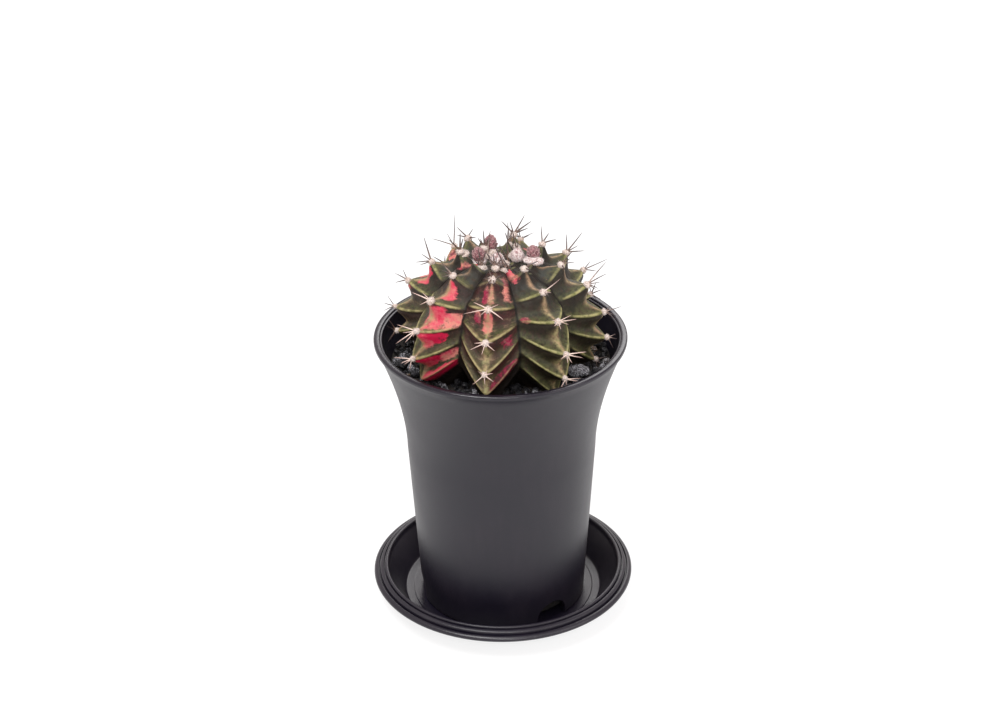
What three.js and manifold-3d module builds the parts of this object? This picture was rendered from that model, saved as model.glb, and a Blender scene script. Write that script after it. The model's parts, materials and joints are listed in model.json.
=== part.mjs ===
// A round, eight-ribbed cactus growing in a flared black plastic pot that stands in its saucer.
// Millimetres, +Z up. The origin is the centre of the saucer's underside, where the whole thing rests.
// Azimuth is measured from -Y, the front, and is positive towards +X.
import * as THREE from 'three';
import { mergeVertices } from 'three/addons/utils/BufferGeometryUtils.js';
import Module from 'manifold-3d';

const wasm = await Module();
wasm.setup();

// ---------- driving dimensions ----------
const REST_GAP = 0.3;          // clearance between pieces that touch
const LATHE_SIDES = 48;

const SAUCER = {
  footClearance: 6.1,          // from the pot's foot to the edge of the flat floor
  wallSpread: 6.4,             // from there to the lip, across the sloping wall
  lipWidth: 5.4,
  height: 12.6,                // top of the lip's inner ridge
  lipStep: 1.1,                // fall from each step of the lip to the next
  floorThickness: 1.6,
  wall: 1.5,
};

const POT = {
  rimRadius: 45,
  height: 106,
  neckRadius: 34.1,            // where the straight taper meets the flare
  flareHeight: 44,
  flarePower: 1.75,
  baseRadius: 30.1,
  wall: 1.5,
  rimBand: 2.1,                // flat top of the rim
  ledgeWidth: 0.8,             // small step inside the rim
  ledgeDrop: 0.7,
  rimDepth: 2.0,               // height of the rim's outer edge
  footHeight: 1.5,             // floor is raised by this much inside the foot ring
  footWidth: 2.6,
  floorThickness: 2.0,
};

const DRAIN = { count: 3, radius: 6.5, centreHeight: 1.5, reach: 9, azimuth: 36.5 };

const SOIL = { depthBelowRim: 10.2, crown: 0.8 };

const CACTUS = {
  tipClearance: 4.8,           // from the widest rib tips to the inside of the pot's rim
  centreAboveSoil: 13.3,       // height of the body's widest level
  ribCount: 8,
  firstRibAzimuth: -8.5,
  notchDepth: 2.3,             // how far the crest dips between two areoles
  notchSkew: 1.2,              // above 1 the dip is nearer the older areole
  ridgeHeight: 0.9,            // cross ridge that runs from each areole towards the furrow
  flankPower: 1.3,             // above 1 the flanks are hollow
  crestRounding: 0.1,
};

// Meridian outlines of the body, radius and height from its centre, from the growing tip to the root.
// Both curves have a point at each step of growth, and the crest carries an areole at a step. The whole plant,
// with its areoles, spines and buds, is then grown or shrunk until it fits the pot's mouth.
const CREST_OUTLINE = [
  [0, 21.0], [7.6, 24.6], [14.3, 27.7], [24.5, 23.5], [32.7, 15.6], [37.3, 5.0],
  [36.8, -4.6], [31.6, -13.2], [22.5, -19.5], [11.5, -24.0], [0, -26.0],
];
const FURROW_OUTLINE = [
  [0, 21.0], [6.4, 22.8], [13.0, 22.5], [20.1, 19.4], [24.2, 14.0], [26.0, 8.4],
  [26.9, 2.8], [26.6, -2.8], [24.2, -10.0], [13.5, -20.0], [0, -26.0],
];
const STEPS_ABOVE_FIRST = 2;   // outline steps between the growing tip and growth 0

// For each rib: growth of its first full areole, and the lowest row that stands clear of the soil.
const RIBS = [
  { phase: 0.34, lastRow: 3 }, { phase: 0.0, lastRow: 4 }, { phase: 0.7, lastRow: 4 }, { phase: 0.3, lastRow: 3 },
  { phase: 0.5, lastRow: 3 }, { phase: 0.6, lastRow: 3 }, { phase: -0.05, lastRow: 4 }, { phase: 0.55, lastRow: 3 },
];
const YOUNGEST_GROWTH = -0.7;  // areoles younger than this are still hidden in the crown

const AREOLE = { radius: 1.35, height: 0.95, soilClearance: 2.4 };
const SPINE = { baseRadius: 0.32, length: 8.2, crownLength: 9.0, lean: 1.7, crownLean: 0.45, clearOfSoil: 6 };
const SPINE_CLEARANCE = 0.6;   // distance that a spine's tip keeps from the pot and the soil

const BUDS = [                 // azimuth, distance from the axis, radius, and how far it stands above the crown
  { name: 'flower_bud_left', azimuth: -106, offset: 7.7, radius: 2.1, height: 5.2 },
  { name: 'flower_bud_back', azimuth: -164, offset: 11.4, radius: 2.1, height: 5.8 },
  { name: 'flower_bud_right', azimuth: 109, offset: 12.3, radius: 2.3, height: 5.0 },
  { name: 'woolly_bud_front', azimuth: -150, offset: 1.8, radius: 2.2, height: 4.4 },
  { name: 'woolly_bud_back', azimuth: 110, offset: 6.6, radius: 2.0, height: 4.6 },
];

const STONES = [               // azimuth, distance from the pot's wall, size
  [58, 4.9, 3.0], [69, 2.9, 2.2], [47, 2.3, 1.8], [10, 3.9, 2.0], [-27, 3.2, 2.1],
  [-79, 4.3, 2.6], [104, 4.5, 2.6], [148, 4.1, 2.7], [-167, 4.7, 2.9],
];

// ---------- sizes worked out from those ----------
const potBase = SAUCER.floorThickness + REST_GAP;
const rimTop = potBase + POT.height;
const neckHeight = rimTop - POT.flareHeight;
const soilTop = rimTop - SOIL.depthBelowRim;
const potFloor = potBase + POT.footHeight + POT.floorThickness;
const rimInner = POT.rimRadius - POT.rimBand - POT.ledgeWidth;
const widestTip = Math.max(...CREST_OUTLINE.map(([radius]) => radius));
const plantScale = (rimInner - CACTUS.tipClearance) / widestTip;
const bodyCentre = soilTop + CACTUS.centreAboveSoil * plantScale;
const saucerFloorRadius = POT.baseRadius + SAUCER.footClearance;
const saucerLipInner = saucerFloorRadius + SAUCER.wallSpread;
const saucerRadius = saucerLipInner + SAUCER.lipWidth;
const ribPitch = (2 * Math.PI) / CACTUS.ribCount;
const degrees = Math.PI / 180;

// ---------- materials ----------
const plastic = new THREE.MeshStandardMaterial({ color: 0x2b282b, roughness: 0.5, metalness: 0 });
const soilMaterial = new THREE.MeshStandardMaterial({ color: 0x1b1715, roughness: 0.95, metalness: 0 });
const stoneMaterial = new THREE.MeshStandardMaterial({ color: 0x24242a, roughness: 0.6, metalness: 0 });
const skinMaterial = new THREE.MeshStandardMaterial({ color: 0x4a4d35, roughness: 0.55, metalness: 0 });
const spineMaterial = new THREE.MeshStandardMaterial({ color: 0xe6d6c4, roughness: 0.6, metalness: 0 });
const budMaterial = new THREE.MeshStandardMaterial({ color: 0x7c5a5c, roughness: 0.7, metalness: 0 });
const woolMaterial = new THREE.MeshStandardMaterial({ color: 0xd9cbc9, roughness: 0.9, metalness: 0 });

const part = new THREE.Group();

function addPiece(name, geometry, material) {
  const mesh = new THREE.Mesh(geometry, material);
  mesh.name = name;
  part.add(mesh);
}

// ---------- solids ----------
function toSolid(geometry) {
  const bare = geometry.index ? geometry.toNonIndexed() : geometry.clone();
  bare.deleteAttribute('normal');
  bare.deleteAttribute('uv');
  const merged = mergeVertices(bare, 1e-4);
  return new wasm.Manifold(new wasm.Mesh({
    numProp: 3,
    vertProperties: new Float32Array(merged.attributes.position.array),
    triVerts: new Uint32Array(merged.index.array),
  }));
}

function toGeometry(solid) {
  const mesh = solid.getMesh();
  const corners = new Float32Array(mesh.numVert * 3);
  for (let i = 0; i < mesh.numVert; i++) {
    const start = i * mesh.numProp;
    corners.set(mesh.vertProperties.subarray(start, start + 3), i * 3);
  }
  const geometry = new THREE.BufferGeometry();
  geometry.setAttribute('position', new THREE.BufferAttribute(corners, 3));
  geometry.setIndex(new THREE.BufferAttribute(new Uint32Array(mesh.triVerts), 1));
  return geometry;
}

function largestBody(solid) {
  return solid.decompose().reduce((best, next) => (next.volume() > best.volume() ? next : best));
}

// A closed outline of [radius, height] pairs, turned about +Z.
function lathe(outline, sides = LATHE_SIDES) {
  const points = outline.map(([radius, height]) => new THREE.Vector2(radius, height));
  return new THREE.LatheGeometry(points, sides).rotateX(Math.PI / 2);
}

// A point at an azimuth and distance from the axis.
function around(azimuth, radius, height) {
  return new THREE.Vector3(radius * Math.sin(azimuth), -radius * Math.cos(azimuth), height);
}

// ---------- saucer ----------
function saucerOutline() {
  const { height, lipStep, floorThickness, wall } = SAUCER;
  const middleTop = height - lipStep;           // the three steps of the lip fall outwards
  const edgeTop = middleTop - lipStep;
  return [
    [0, 0], [saucerFloorRadius - 1.2, 0], [saucerFloorRadius + 0.6, 0.7],
    [saucerLipInner + wall, edgeTop - wall - 1.2], [saucerRadius - 0.5, edgeTop - wall - 0.3],
    [saucerRadius, edgeTop - wall + 0.5], [saucerRadius, edgeTop - 0.5],
    [saucerRadius - 0.6, edgeTop], [saucerRadius - 1.8, edgeTop],
    [saucerRadius - 2.2, middleTop], [saucerRadius - 3.3, middleTop],
    [saucerRadius - 3.7, height], [saucerLipInner + 0.5, height],
    [saucerLipInner, height - 0.6], [saucerLipInner - 0.2, height - 1.8],
    [saucerFloorRadius + 0.5, floorThickness + 0.5], [saucerFloorRadius - 0.3, floorThickness], [0, floorThickness],
  ];
}

// ---------- pot ----------
function potOuterRadius(height) {
  if (height < neckHeight) {
    const share = (height - potBase) / (neckHeight - potBase);
    return POT.baseRadius + (POT.neckRadius - POT.baseRadius) * share;
  }
  const share = (height - neckHeight) / POT.flareHeight;
  return POT.neckRadius + (POT.rimRadius - POT.neckRadius) * share ** POT.flarePower;
}

// Heights at which the pot's wall changes direction, from its floor up to its rim.
function wallHeights(from, to) {
  const flareShares = [0, 0.2, 0.38, 0.55, 0.7, 0.84, 1];
  const heights = flareShares.map((share) => neckHeight + share * POT.flareHeight);
  return [from, ...heights.filter((height) => height > from + 1 && height < to - 1), to];
}

function potOutline() {
  const bandInner = POT.rimRadius - POT.rimBand;
  const ledgeTop = rimTop - POT.ledgeDrop;
  const outer = wallHeights(potBase, rimTop - POT.rimDepth).map((height) => [potOuterRadius(height), height]);
  const inner = wallHeights(potFloor, ledgeTop - 2 * POT.rimDepth)
    .map((height) => [potOuterRadius(height) - POT.wall, height]);
  return [
    [0, potBase + POT.footHeight], [POT.baseRadius - POT.footWidth, potBase + POT.footHeight],
    [POT.baseRadius - POT.footWidth, potBase], ...outer,
    [POT.rimRadius, rimTop - POT.rimDepth + 0.4], [POT.rimRadius, rimTop - 0.5], [POT.rimRadius - 0.5, rimTop],
    [bandInner, rimTop], [bandInner, ledgeTop], [rimInner, ledgeTop], ...inner.reverse(), [0, potFloor],
  ];
}

function drainCutter(index) {
  const azimuth = DRAIN.azimuth * degrees + (index * 2 * Math.PI) / DRAIN.count;
  const length = 2 * DRAIN.reach;
  const cutter = new THREE.CylinderGeometry(DRAIN.radius, DRAIN.radius, length, 24);
  cutter.translate(0, -(POT.baseRadius + length / 2 - DRAIN.reach), potBase + DRAIN.centreHeight);
  return toSolid(cutter.rotateZ(azimuth));
}

function makePot() {
  let pot = toSolid(lathe(potOutline()));
  for (let i = 0; i < DRAIN.count; i++) pot = pot.subtract(drainCutter(i));
  return toGeometry(pot);
}

// ---------- cactus body ----------
function outlineCurve(outline) {
  return new THREE.SplineCurve(outline.map(([r, z]) => new THREE.Vector2(r, z).multiplyScalar(plantScale)));
}
const crestCurve = outlineCurve(CREST_OUTLINE);
const furrowCurve = outlineCurve(FURROW_OUTLINE);
const growthSteps = CREST_OUTLINE.length - 1;

const ribAzimuth = (rib) => CACTUS.firstRibAzimuth * degrees + rib * ribPitch;

// Nearest rib to an azimuth, and how far round from its crest the azimuth lies: 0 at the crest, 1 in the furrow.
function ribAt(azimuth) {
  const turns = (azimuth - CACTUS.firstRibAzimuth * degrees) / ribPitch;
  const nearest = Math.round(turns);
  return { rib: ((nearest % CACTUS.ribCount) + CACTUS.ribCount) % CACTUS.ribCount, across: 2 * Math.abs(turns - nearest) };
}

// A point of the skin at a stage of growth and an azimuth. Growth 0 is the first full step below the crown.
function skinPoint(growth, azimuth, offset = 0) {
  const { rib, across } = ribAt(azimuth);
  const along = THREE.MathUtils.clamp((growth + STEPS_ABOVE_FIRST) / growthSteps, 0, 1);
  const crest = crestCurve.getPoint(along);
  const furrow = furrowCurve.getPoint(along);
  const rounded = Math.hypot(across, CACTUS.crestRounding) - CACTUS.crestRounding;
  const crestShare = (1 - rounded / (Math.hypot(1, CACTUS.crestRounding) - CACTUS.crestRounding)) ** CACTUS.flankPower;
  const place = furrow.lerp(crest, crestShare);
  const pastAreole = THREE.MathUtils.euclideanModulo(growth - RIBS[rib].phase, 1);
  const wave = 0.5 + 0.5 * Math.cos(2 * Math.PI * pastAreole ** CACTUS.notchSkew);   // 1 at an areole, 0 in a notch
  const relief = Math.sin(Math.PI * along) ** 0.6;
  const ridge = CACTUS.ridgeHeight * wave * (1 - across ** 4);
  const notch = CACTUS.notchDepth * (1 - wave) * Math.max(0, 1 - 1.5 * across);
  const lift = plantScale * relief * (ridge - notch) + offset;
  const outward = place.clone().normalize();
  place.addScaledVector(outward, lift * Math.min(1, place.x / 3));
  if (place.x < 3 && offset) place.y += offset * Math.sign(place.y) * (1 - place.x / 3);
  return around(azimuth, Math.max(0, place.x), bodyCentre + place.y);
}

// The whole skin as a closed surface, grown outwards by an offset.
function skinGeometry(columns, rows, offset = 0) {
  const geometry = new THREE.SphereGeometry(1, columns, rows);
  const position = geometry.attributes.position;
  for (let i = 0; i < position.count; i++) {
    const column = i % (columns + 1);
    const row = Math.floor(i / (columns + 1));
    const azimuth = CACTUS.firstRibAzimuth * degrees + ((column % columns) / columns) * 2 * Math.PI;
    const growth = growthSteps * (row / rows) - STEPS_ABOVE_FIRST;
    const point = skinPoint(growth, azimuth, offset);
    if (row === 0 || row === rows) point.set(0, 0, point.z);
    position.setXYZ(i, point.x, point.y, point.z);
  }
  return geometry;
}

const BODY_COLUMNS = CACTUS.ribCount * 6;
const BODY_ROWS = 38;
const keepOutOfBody = toSolid(skinGeometry(BODY_COLUMNS, BODY_ROWS, REST_GAP));

// ---------- areoles and spines ----------
// Where an areole sits, and which way it faces.
function areoleAt(rib, growth) {
  const azimuth = ribAzimuth(rib);
  const centre = skinPoint(growth, azimuth);
  const above = skinPoint(growth - 0.12, azimuth);
  const below = skinPoint(growth + 0.12, azimuth);
  const side = new THREE.Vector3(Math.cos(azimuth), Math.sin(azimuth), 0);
  const facing = above.sub(below).cross(side).normalize();
  const outward = centre.clone().setZ(centre.z - bodyCentre).normalize();
  if (facing.dot(outward) < 0) facing.negate();
  facing.add(outward).normalize();
  const upward = side.clone().cross(facing).normalize();
  if (upward.z < 0) upward.negate();
  return { centre, facing, upward, side };
}

// Growth of an areole, moved up its rib if the soil would bury it.
function standingGrowth(rib, growth) {
  let standing = growth;
  while (skinPoint(standing, ribAzimuth(rib)).z < soilTop + AREOLE.soilClearance) standing -= 0.05;
  return standing;
}

function spineSolid(centre, direction, length) {
  const cone = new THREE.ConeGeometry(SPINE.baseRadius * plantScale, length, 3);
  cone.translate(0, length / 2, 0);
  cone.applyQuaternion(new THREE.Quaternion().setFromUnitVectors(new THREE.Vector3(0, 1, 0), direction));
  cone.translate(centre.x, centre.y, centre.z);
  return toSolid(cone);
}

function isClearOfPot(tip) {
  const wallInner = Math.min(potOuterRadius(tip.z) - POT.wall, rimInner);
  const insideWall = Math.hypot(tip.x, tip.y) < wallInner - SPINE_CLEARANCE;
  return (tip.z > rimTop + SPINE_CLEARANCE || insideWall) && tip.z > soilTop + SOIL.crown + SPINE_CLEARANCE;
}

// The longest that a spine can be without touching the pot or the soil.
function spineLength(centre, direction, wanted) {
  let length = wanted;
  while (length > 2 && !isClearOfPot(centre.clone().addScaledVector(direction, length))) length -= 0.25;
  return length;
}

// A woolly pad with a fan of spines. Old areoles spread theirs sideways and down, young ones stand theirs up.
function makeAreole(rib, growth) {
  const { centre, facing, upward, side } = areoleAt(rib, growth);
  const pad = new THREE.SphereGeometry(1, 7, 3);
  pad.scale(AREOLE.radius, AREOLE.height, AREOLE.radius);
  pad.scale(plantScale, plantScale, plantScale);
  pad.applyQuaternion(new THREE.Quaternion().setFromUnitVectors(new THREE.Vector3(0, 1, 0), facing));
  pad.translate(...centre.clone().addScaledVector(facing, 0.35).toArray());
  let cluster = toSolid(pad);
  const young = growth < 0.1;
  const low = centre.z < soilTop + SPINE.clearOfSoil * plantScale;
  const spread = low ? [-95, -45, 45, 95] : [-150, -100, -55, 55, 105, 160];
  const fan = young ? [-20, 18, 150] : spread;
  const lean = young ? SPINE.crownLean : SPINE.lean;
  fan.forEach((angle, i) => {
    const turn = angle * degrees;
    const direction = facing.clone()
      .addScaledVector(upward, lean * Math.cos(turn))
      .addScaledVector(side, lean * Math.sin(turn)).normalize();
    const wanted = plantScale * (young ? SPINE.crownLength : SPINE.length) * (0.8 + 0.1 * ((i + rib) % 3));
    const foot = centre.clone().addScaledVector(facing, 0.5);
    cluster = cluster.add(spineSolid(foot, direction, spineLength(foot, direction, wanted)));
  });
  return toGeometry(largestBody(cluster.subtract(keepOutOfBody)));
}

// ---------- flower buds ----------
function makeBud({ azimuth, offset, radius, height }) {
  const bud = new THREE.SphereGeometry(plantScale, 10, 7);
  const crown = crownHeight(offset * plantScale);
  bud.scale(radius, radius, (height + 2) / 2);
  const middle = crown + ((height - 2) / 2) * plantScale;
  bud.translate(...around(azimuth * degrees, offset * plantScale, middle).toArray());
  return toGeometry(largestBody(toSolid(bud).subtract(keepOutOfBody)));
}

// Height of the crown's furrows at a distance from the axis.
function crownHeight(distance) {
  const steps = 40;
  for (let i = 0; i <= steps; i++) {
    const point = furrowCurve.getPoint((i / steps) * 0.4);
    if (point.x >= distance) return bodyCentre + point.y;
  }
  return bodyCentre + furrowCurve.getPoint(0.4).y;
}

// ---------- soil and stones ----------
function makeSoil() {
  const side = wallHeights(potFloor + REST_GAP, soilTop)
    .map((height) => [potOuterRadius(height) - POT.wall - REST_GAP, height]);
  const soil = toSolid(lathe([[0, potFloor + REST_GAP], ...side, [0, soilTop + SOIL.crown]]));
  return toGeometry(largestBody(soil.subtract(keepOutOfBody)));
}

const keepOutOfSoil = toSolid(lathe([
  [0, 0], [POT.rimRadius, 0], [POT.rimRadius, soilTop + REST_GAP],
  [potOuterRadius(soilTop) - POT.wall - REST_GAP, soilTop + REST_GAP], [0, soilTop + SOIL.crown + REST_GAP],
]));

// An angular lump of gravel, half set in the surface of the soil.
function makeStone([azimuth, inset, size], index) {
  const stone = new THREE.IcosahedronGeometry(size, 1);
  const position = stone.attributes.position;
  const corner = new THREE.Vector3();
  for (let i = 0; i < position.count; i++) {
    corner.fromBufferAttribute(position, i);
    const bump = Math.sin(2.1 * corner.x + index) * Math.cos(1.7 * corner.y - index) * Math.sin(1.9 * corner.z + 2 * index);
    corner.multiplyScalar(1 + 0.16 * bump);
    position.setXYZ(i, corner.x, corner.y, 0.8 * corner.z);
  }
  stone.rotateZ(index);
  const distance = potOuterRadius(soilTop) - POT.wall - inset;
  stone.translate(...around(azimuth * degrees, distance, soilTop + 0.45 * size).toArray());
  return toGeometry(largestBody(toSolid(stone).subtract(keepOutOfSoil)));
}

// ---------- assembly ----------
addPiece('saucer', lathe(saucerOutline()), plastic);
addPiece('pot', makePot(), plastic);
addPiece('potting_soil', makeSoil(), soilMaterial);
addPiece('cactus_body', skinGeometry(BODY_COLUMNS, BODY_ROWS), skinMaterial);

RIBS.forEach(({ phase, lastRow }, rib) => {
  for (let row = -1; row <= lastRow; row++) {
    const growth = phase + row;
    if (growth < YOUNGEST_GROWTH) continue;
    addPiece(`spines_rib${rib + 1}_row${row + 2}`, makeAreole(rib, standingGrowth(rib, growth)), spineMaterial);
  }
});

BUDS.forEach((bud) => addPiece(bud.name, makeBud(bud), bud.name.startsWith('woolly') ? woolMaterial : budMaterial));

STONES.forEach((stone, i) => addPiece(`gravel_stone_${i + 1}`, makeStone(stone, i), stoneMaterial));

export default part;
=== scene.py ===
import json
import math
import random

import bpy
import bmesh
import numpy as np
from mathutils import Matrix, Vector, noise

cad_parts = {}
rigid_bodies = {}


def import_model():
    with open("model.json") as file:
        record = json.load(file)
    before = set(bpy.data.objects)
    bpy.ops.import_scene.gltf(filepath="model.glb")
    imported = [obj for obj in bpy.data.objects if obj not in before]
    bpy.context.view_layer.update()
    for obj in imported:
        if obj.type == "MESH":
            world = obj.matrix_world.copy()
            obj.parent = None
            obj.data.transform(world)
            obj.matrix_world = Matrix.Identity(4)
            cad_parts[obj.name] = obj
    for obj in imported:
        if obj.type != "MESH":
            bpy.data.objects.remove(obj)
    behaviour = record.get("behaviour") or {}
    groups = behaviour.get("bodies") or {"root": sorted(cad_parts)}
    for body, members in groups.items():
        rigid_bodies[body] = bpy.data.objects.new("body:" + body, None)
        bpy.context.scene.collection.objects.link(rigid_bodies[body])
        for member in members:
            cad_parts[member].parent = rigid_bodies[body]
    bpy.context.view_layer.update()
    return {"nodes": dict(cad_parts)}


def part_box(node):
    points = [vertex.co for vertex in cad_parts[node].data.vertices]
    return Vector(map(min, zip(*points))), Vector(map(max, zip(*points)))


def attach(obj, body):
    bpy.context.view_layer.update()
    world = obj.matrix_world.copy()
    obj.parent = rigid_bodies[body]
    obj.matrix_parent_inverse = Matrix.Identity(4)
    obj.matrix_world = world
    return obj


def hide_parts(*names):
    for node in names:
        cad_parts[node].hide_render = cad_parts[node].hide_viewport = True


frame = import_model()
mm = 0.001

potLow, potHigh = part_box("pot")
soilLow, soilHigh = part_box("potting_soil")

# the camera's place, from which the spines at the front are measured too
view = {"aim": (-0.00024, 0.0, 0.10018), "distance": 0.85, "elevation": 29.0, "roll": -0.62, "lens": 86.04}
tilt = math.radians(view["elevation"])
towardsCamera = Vector((0, -math.cos(tilt), math.sin(tilt)))


# ---- small tools ----

class Flow:
    # a value that runs through a node tree: sums on it add Math nodes
    def __init__(self, tree, socket):
        self.tree, self.socket = tree, socket

    def node(self, kind, inputs, output=0, **settings):
        return made(self.tree, kind, inputs, output, **settings)

    def math(self, operation, other=0.0):
        return self.node("ShaderNodeMath", {0: self, 1: other}, operation=operation)

    def vector(self, operation, other=(0, 0, 0)):
        return self.node("ShaderNodeVectorMath", {0: self, 1: other}, operation=operation)

    def scaled(self, factor):
        return self.node("ShaderNodeVectorMath", {0: self, "Scale": factor}, operation="SCALE")

    def __add__(self, other):
        return self.math("ADD", other)

    def __sub__(self, other):
        return self.math("SUBTRACT", other)

    def __rsub__(self, other):
        return self.node("ShaderNodeMath", {0: other, 1: self}, operation="SUBTRACT")

    def __mul__(self, other):
        return self.math("MULTIPLY", other)

    def __truediv__(self, other):
        return self.math("DIVIDE", other)

    def __pow__(self, other):
        return self.math("POWER", other)

    def squared(self):
        return self * self

    def bell(self):
        # 1 where the value is 0, falling off evenly on both sides
        return (self.squared() * -1.0).math("EXPONENT")


def feed(tree, socket, value):
    # links a value to a socket, or sets it there
    if isinstance(value, Flow):
        value = value.socket
    if isinstance(value, bpy.types.NodeSocket):
        tree.links.new(value, socket)
    elif socket.type == "RGBA":
        socket.default_value = (*value[:3], 1)
    else:
        socket.default_value = value


def wire(tree, kind, inputs=None, **settings):
    node = tree.nodes.new(kind)
    for key, value in settings.items():
        setattr(node, key, value)
    for key, value in (inputs or {}).items():
        feed(tree, node.inputs[key], value)
    return node


def made(tree, kind, inputs=None, output=0, **settings):
    return Flow(tree, wire(tree, kind, inputs, **settings).outputs[output])


def field(tree, name, kind="FLOAT"):
    return made(tree, "GeometryNodeInputNamedAttribute", {0: name}, data_type=kind)


def randomFloat(seed, low, high):
    return seed.node("FunctionNodeRandomValue", {2: low, 3: high, "Seed": seed}, 1, data_type="FLOAT")


def randomVector(seed, low, high):
    return seed.node("FunctionNodeRandomValue", {0: low, 1: high, "Seed": seed}, data_type="FLOAT_VECTOR")


def combined(x, y, z):
    parts = {i: value for i, value in enumerate((x, y, z)) if value is not None}
    tree = next(value.tree for value in parts.values() if isinstance(value, Flow))
    return made(tree, "ShaderNodeCombineXYZ", parts)


def aimedAlong(direction):
    return direction.node("FunctionNodeAlignRotationToVector", {"Vector": direction}, axis="Z")


def stored(geometry, name, value):
    return geometry.node("GeometryNodeStoreNamedAttribute",
                         {"Geometry": geometry, "Name": name, "Value": value},
                         data_type="FLOAT", domain="POINT")


def realized(geometry):
    return geometry.node("GeometryNodeRealizeInstances", {0: geometry})


def newTree(name, inputs):
    tree = bpy.data.node_groups.new(name, "GeometryNodeTree")
    kinds = {float: "NodeSocketFloat", int: "NodeSocketInt", tuple: "NodeSocketVector",
             bpy.types.Material: "NodeSocketMaterial", bpy.types.Object: "NodeSocketObject",
             bpy.types.Collection: "NodeSocketCollection"}
    tree.interface.new_socket("Geometry", in_out="INPUT", socket_type="NodeSocketGeometry")
    for label, value in inputs.items():
        socket = tree.interface.new_socket(label, in_out="INPUT", socket_type=kinds[type(value)])
        if isinstance(value, (float, int, tuple)):
            socket.default_value = value
    tree.interface.new_socket("Geometry", in_out="OUTPUT", socket_type="NodeSocketGeometry")
    enter = tree.nodes.new("NodeGroupInput")
    return tree, {socket.name: Flow(tree, socket) for socket in enter.outputs if socket.name}


def finishTree(tree, geometry, material):
    # real meshes and one material at the end of a tree
    coated = wire(tree, "GeometryNodeSetMaterial", {0: realized(geometry), "Material": material})
    wire(tree, "NodeGroupOutput", {0: coated.outputs[0]})
    return tree


def instances(points, shape, rotation, scale, **picks):
    return points.node("GeometryNodeInstanceOnPoints", {
        "Points": points, "Instance": shape, "Rotation": rotation, "Scale": scale, **picks})


def grow(target, tree, values):
    # runs a Geometry Nodes tree on an object and keeps the result as its plain mesh
    modifier = target.modifiers.new("Grow", "NODES")
    modifier.node_group = tree
    for item in tree.interface.items_tree:
        if item.item_type == "SOCKET" and item.in_out == "INPUT" and item.name in values:
            modifier[item.identifier] = values[item.name]
    settle(target)


def settle(target):
    depsgraph = bpy.context.evaluated_depsgraph_get()
    depsgraph.update()
    mesh = bpy.data.meshes.new_from_object(target.evaluated_get(depsgraph), depsgraph=depsgraph)
    target.modifiers.clear()
    target.data = mesh
    mesh.name = target.name


def addObject(name, mesh):
    thing = bpy.data.objects.new(name, mesh)
    bpy.context.scene.collection.objects.link(thing)
    return thing


def newObject(name, vertices, faces):
    mesh = bpy.data.meshes.new(name)
    mesh.from_pydata([tuple(v) for v in vertices], [], [tuple(f) for f in faces])
    mesh.validate()
    return addObject(name, mesh)


def meshFrom(shape, name):
    # turns a bmesh into a mesh
    mesh = bpy.data.meshes.new(name)
    shape.to_mesh(mesh)
    shape.free()
    return mesh


def turnOut(thing):
    # merges doubles and points every face outwards
    shape = bmesh.new()
    shape.from_mesh(thing.data)
    bmesh.ops.remove_doubles(shape, verts=shape.verts, dist=1e-6)
    bmesh.ops.recalc_face_normals(shape, faces=shape.faces)
    if shape.calc_volume(signed=True) < 0:
        bmesh.ops.reverse_faces(shape, faces=shape.faces)
    shape.to_mesh(thing.data)
    shape.free()


def shadeSmooth(thing, smooth=True):
    thing.data.polygons.foreach_set("use_smooth", [smooth] * len(thing.data.polygons))
    thing.data.update()


def setMaterial(thing, material):
    thing.data.materials.clear()
    thing.data.materials.append(material)


def attribute(thing, name, values, kind="FLOAT"):
    layer = thing.data.attributes.new(name, kind, "POINT")
    layer.data.foreach_set("value" if kind == "FLOAT" else "vector", np.asarray(values, np.float32).ravel())


def dropAttributes(thing, names):
    for name in names:
        if name in thing.data.attributes:
            thing.data.attributes.remove(thing.data.attributes[name])


def around(azimuth, radius, height):
    # azimuth is measured from the front, -Y, towards +X
    return Vector((radius * math.sin(azimuth), -radius * math.cos(azimuth), height))


# ---- materials ----

def newMaterial(name, **sockets):
    material = bpy.data.materials.new(name)
    material.use_nodes = True
    tree = material.node_tree
    tree.nodes.clear()
    shader = wire(tree, "ShaderNodeBsdfPrincipled", sockets)
    wire(tree, "ShaderNodeOutputMaterial", {"Surface": shader.outputs[0]})
    return material, tree, shader


def coordinates(tree):
    return made(tree, "ShaderNodeTexCoord", output="Object")


def read(tree, name):
    return made(tree, "ShaderNodeAttribute", output="Fac", attribute_name=name)


def mottle(place, size, detail=3.0, roughness=0.55):
    # noise whose lumps are about size metres across
    return place.node("ShaderNodeTexNoise",
                      {"Vector": place, "Scale": 1 / size, "Detail": detail, "Roughness": roughness})


def heightOf(place):
    return place.node("ShaderNodeSeparateXYZ", {0: place}, 2)


def ramp(factor, stops):
    node = wire(factor.tree, "ShaderNodeValToRGB", {"Fac": factor})
    elements = node.color_ramp.elements
    while len(elements) < len(stops):
        elements.new(0.5)
    for element, (position, colour) in zip(elements, stops):
        element.position, element.color = position, (*colour, 1)
    return Flow(factor.tree, node.outputs[0])


def between(value, low, high, toLow=0.0, toHigh=1.0):
    # runs smoothly from toLow to toHigh while value goes from low to high
    return value.node("ShaderNodeMapRange",
                      {"Value": value, "From Min": low, "From Max": high, "To Min": toLow, "To Max": toHigh},
                      interpolation_type="SMOOTHSTEP")


def mixColour(factor, a, b):
    return factor.node("ShaderNodeMix", {0: factor, 6: a, 7: b}, 2, data_type="RGBA")


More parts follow.
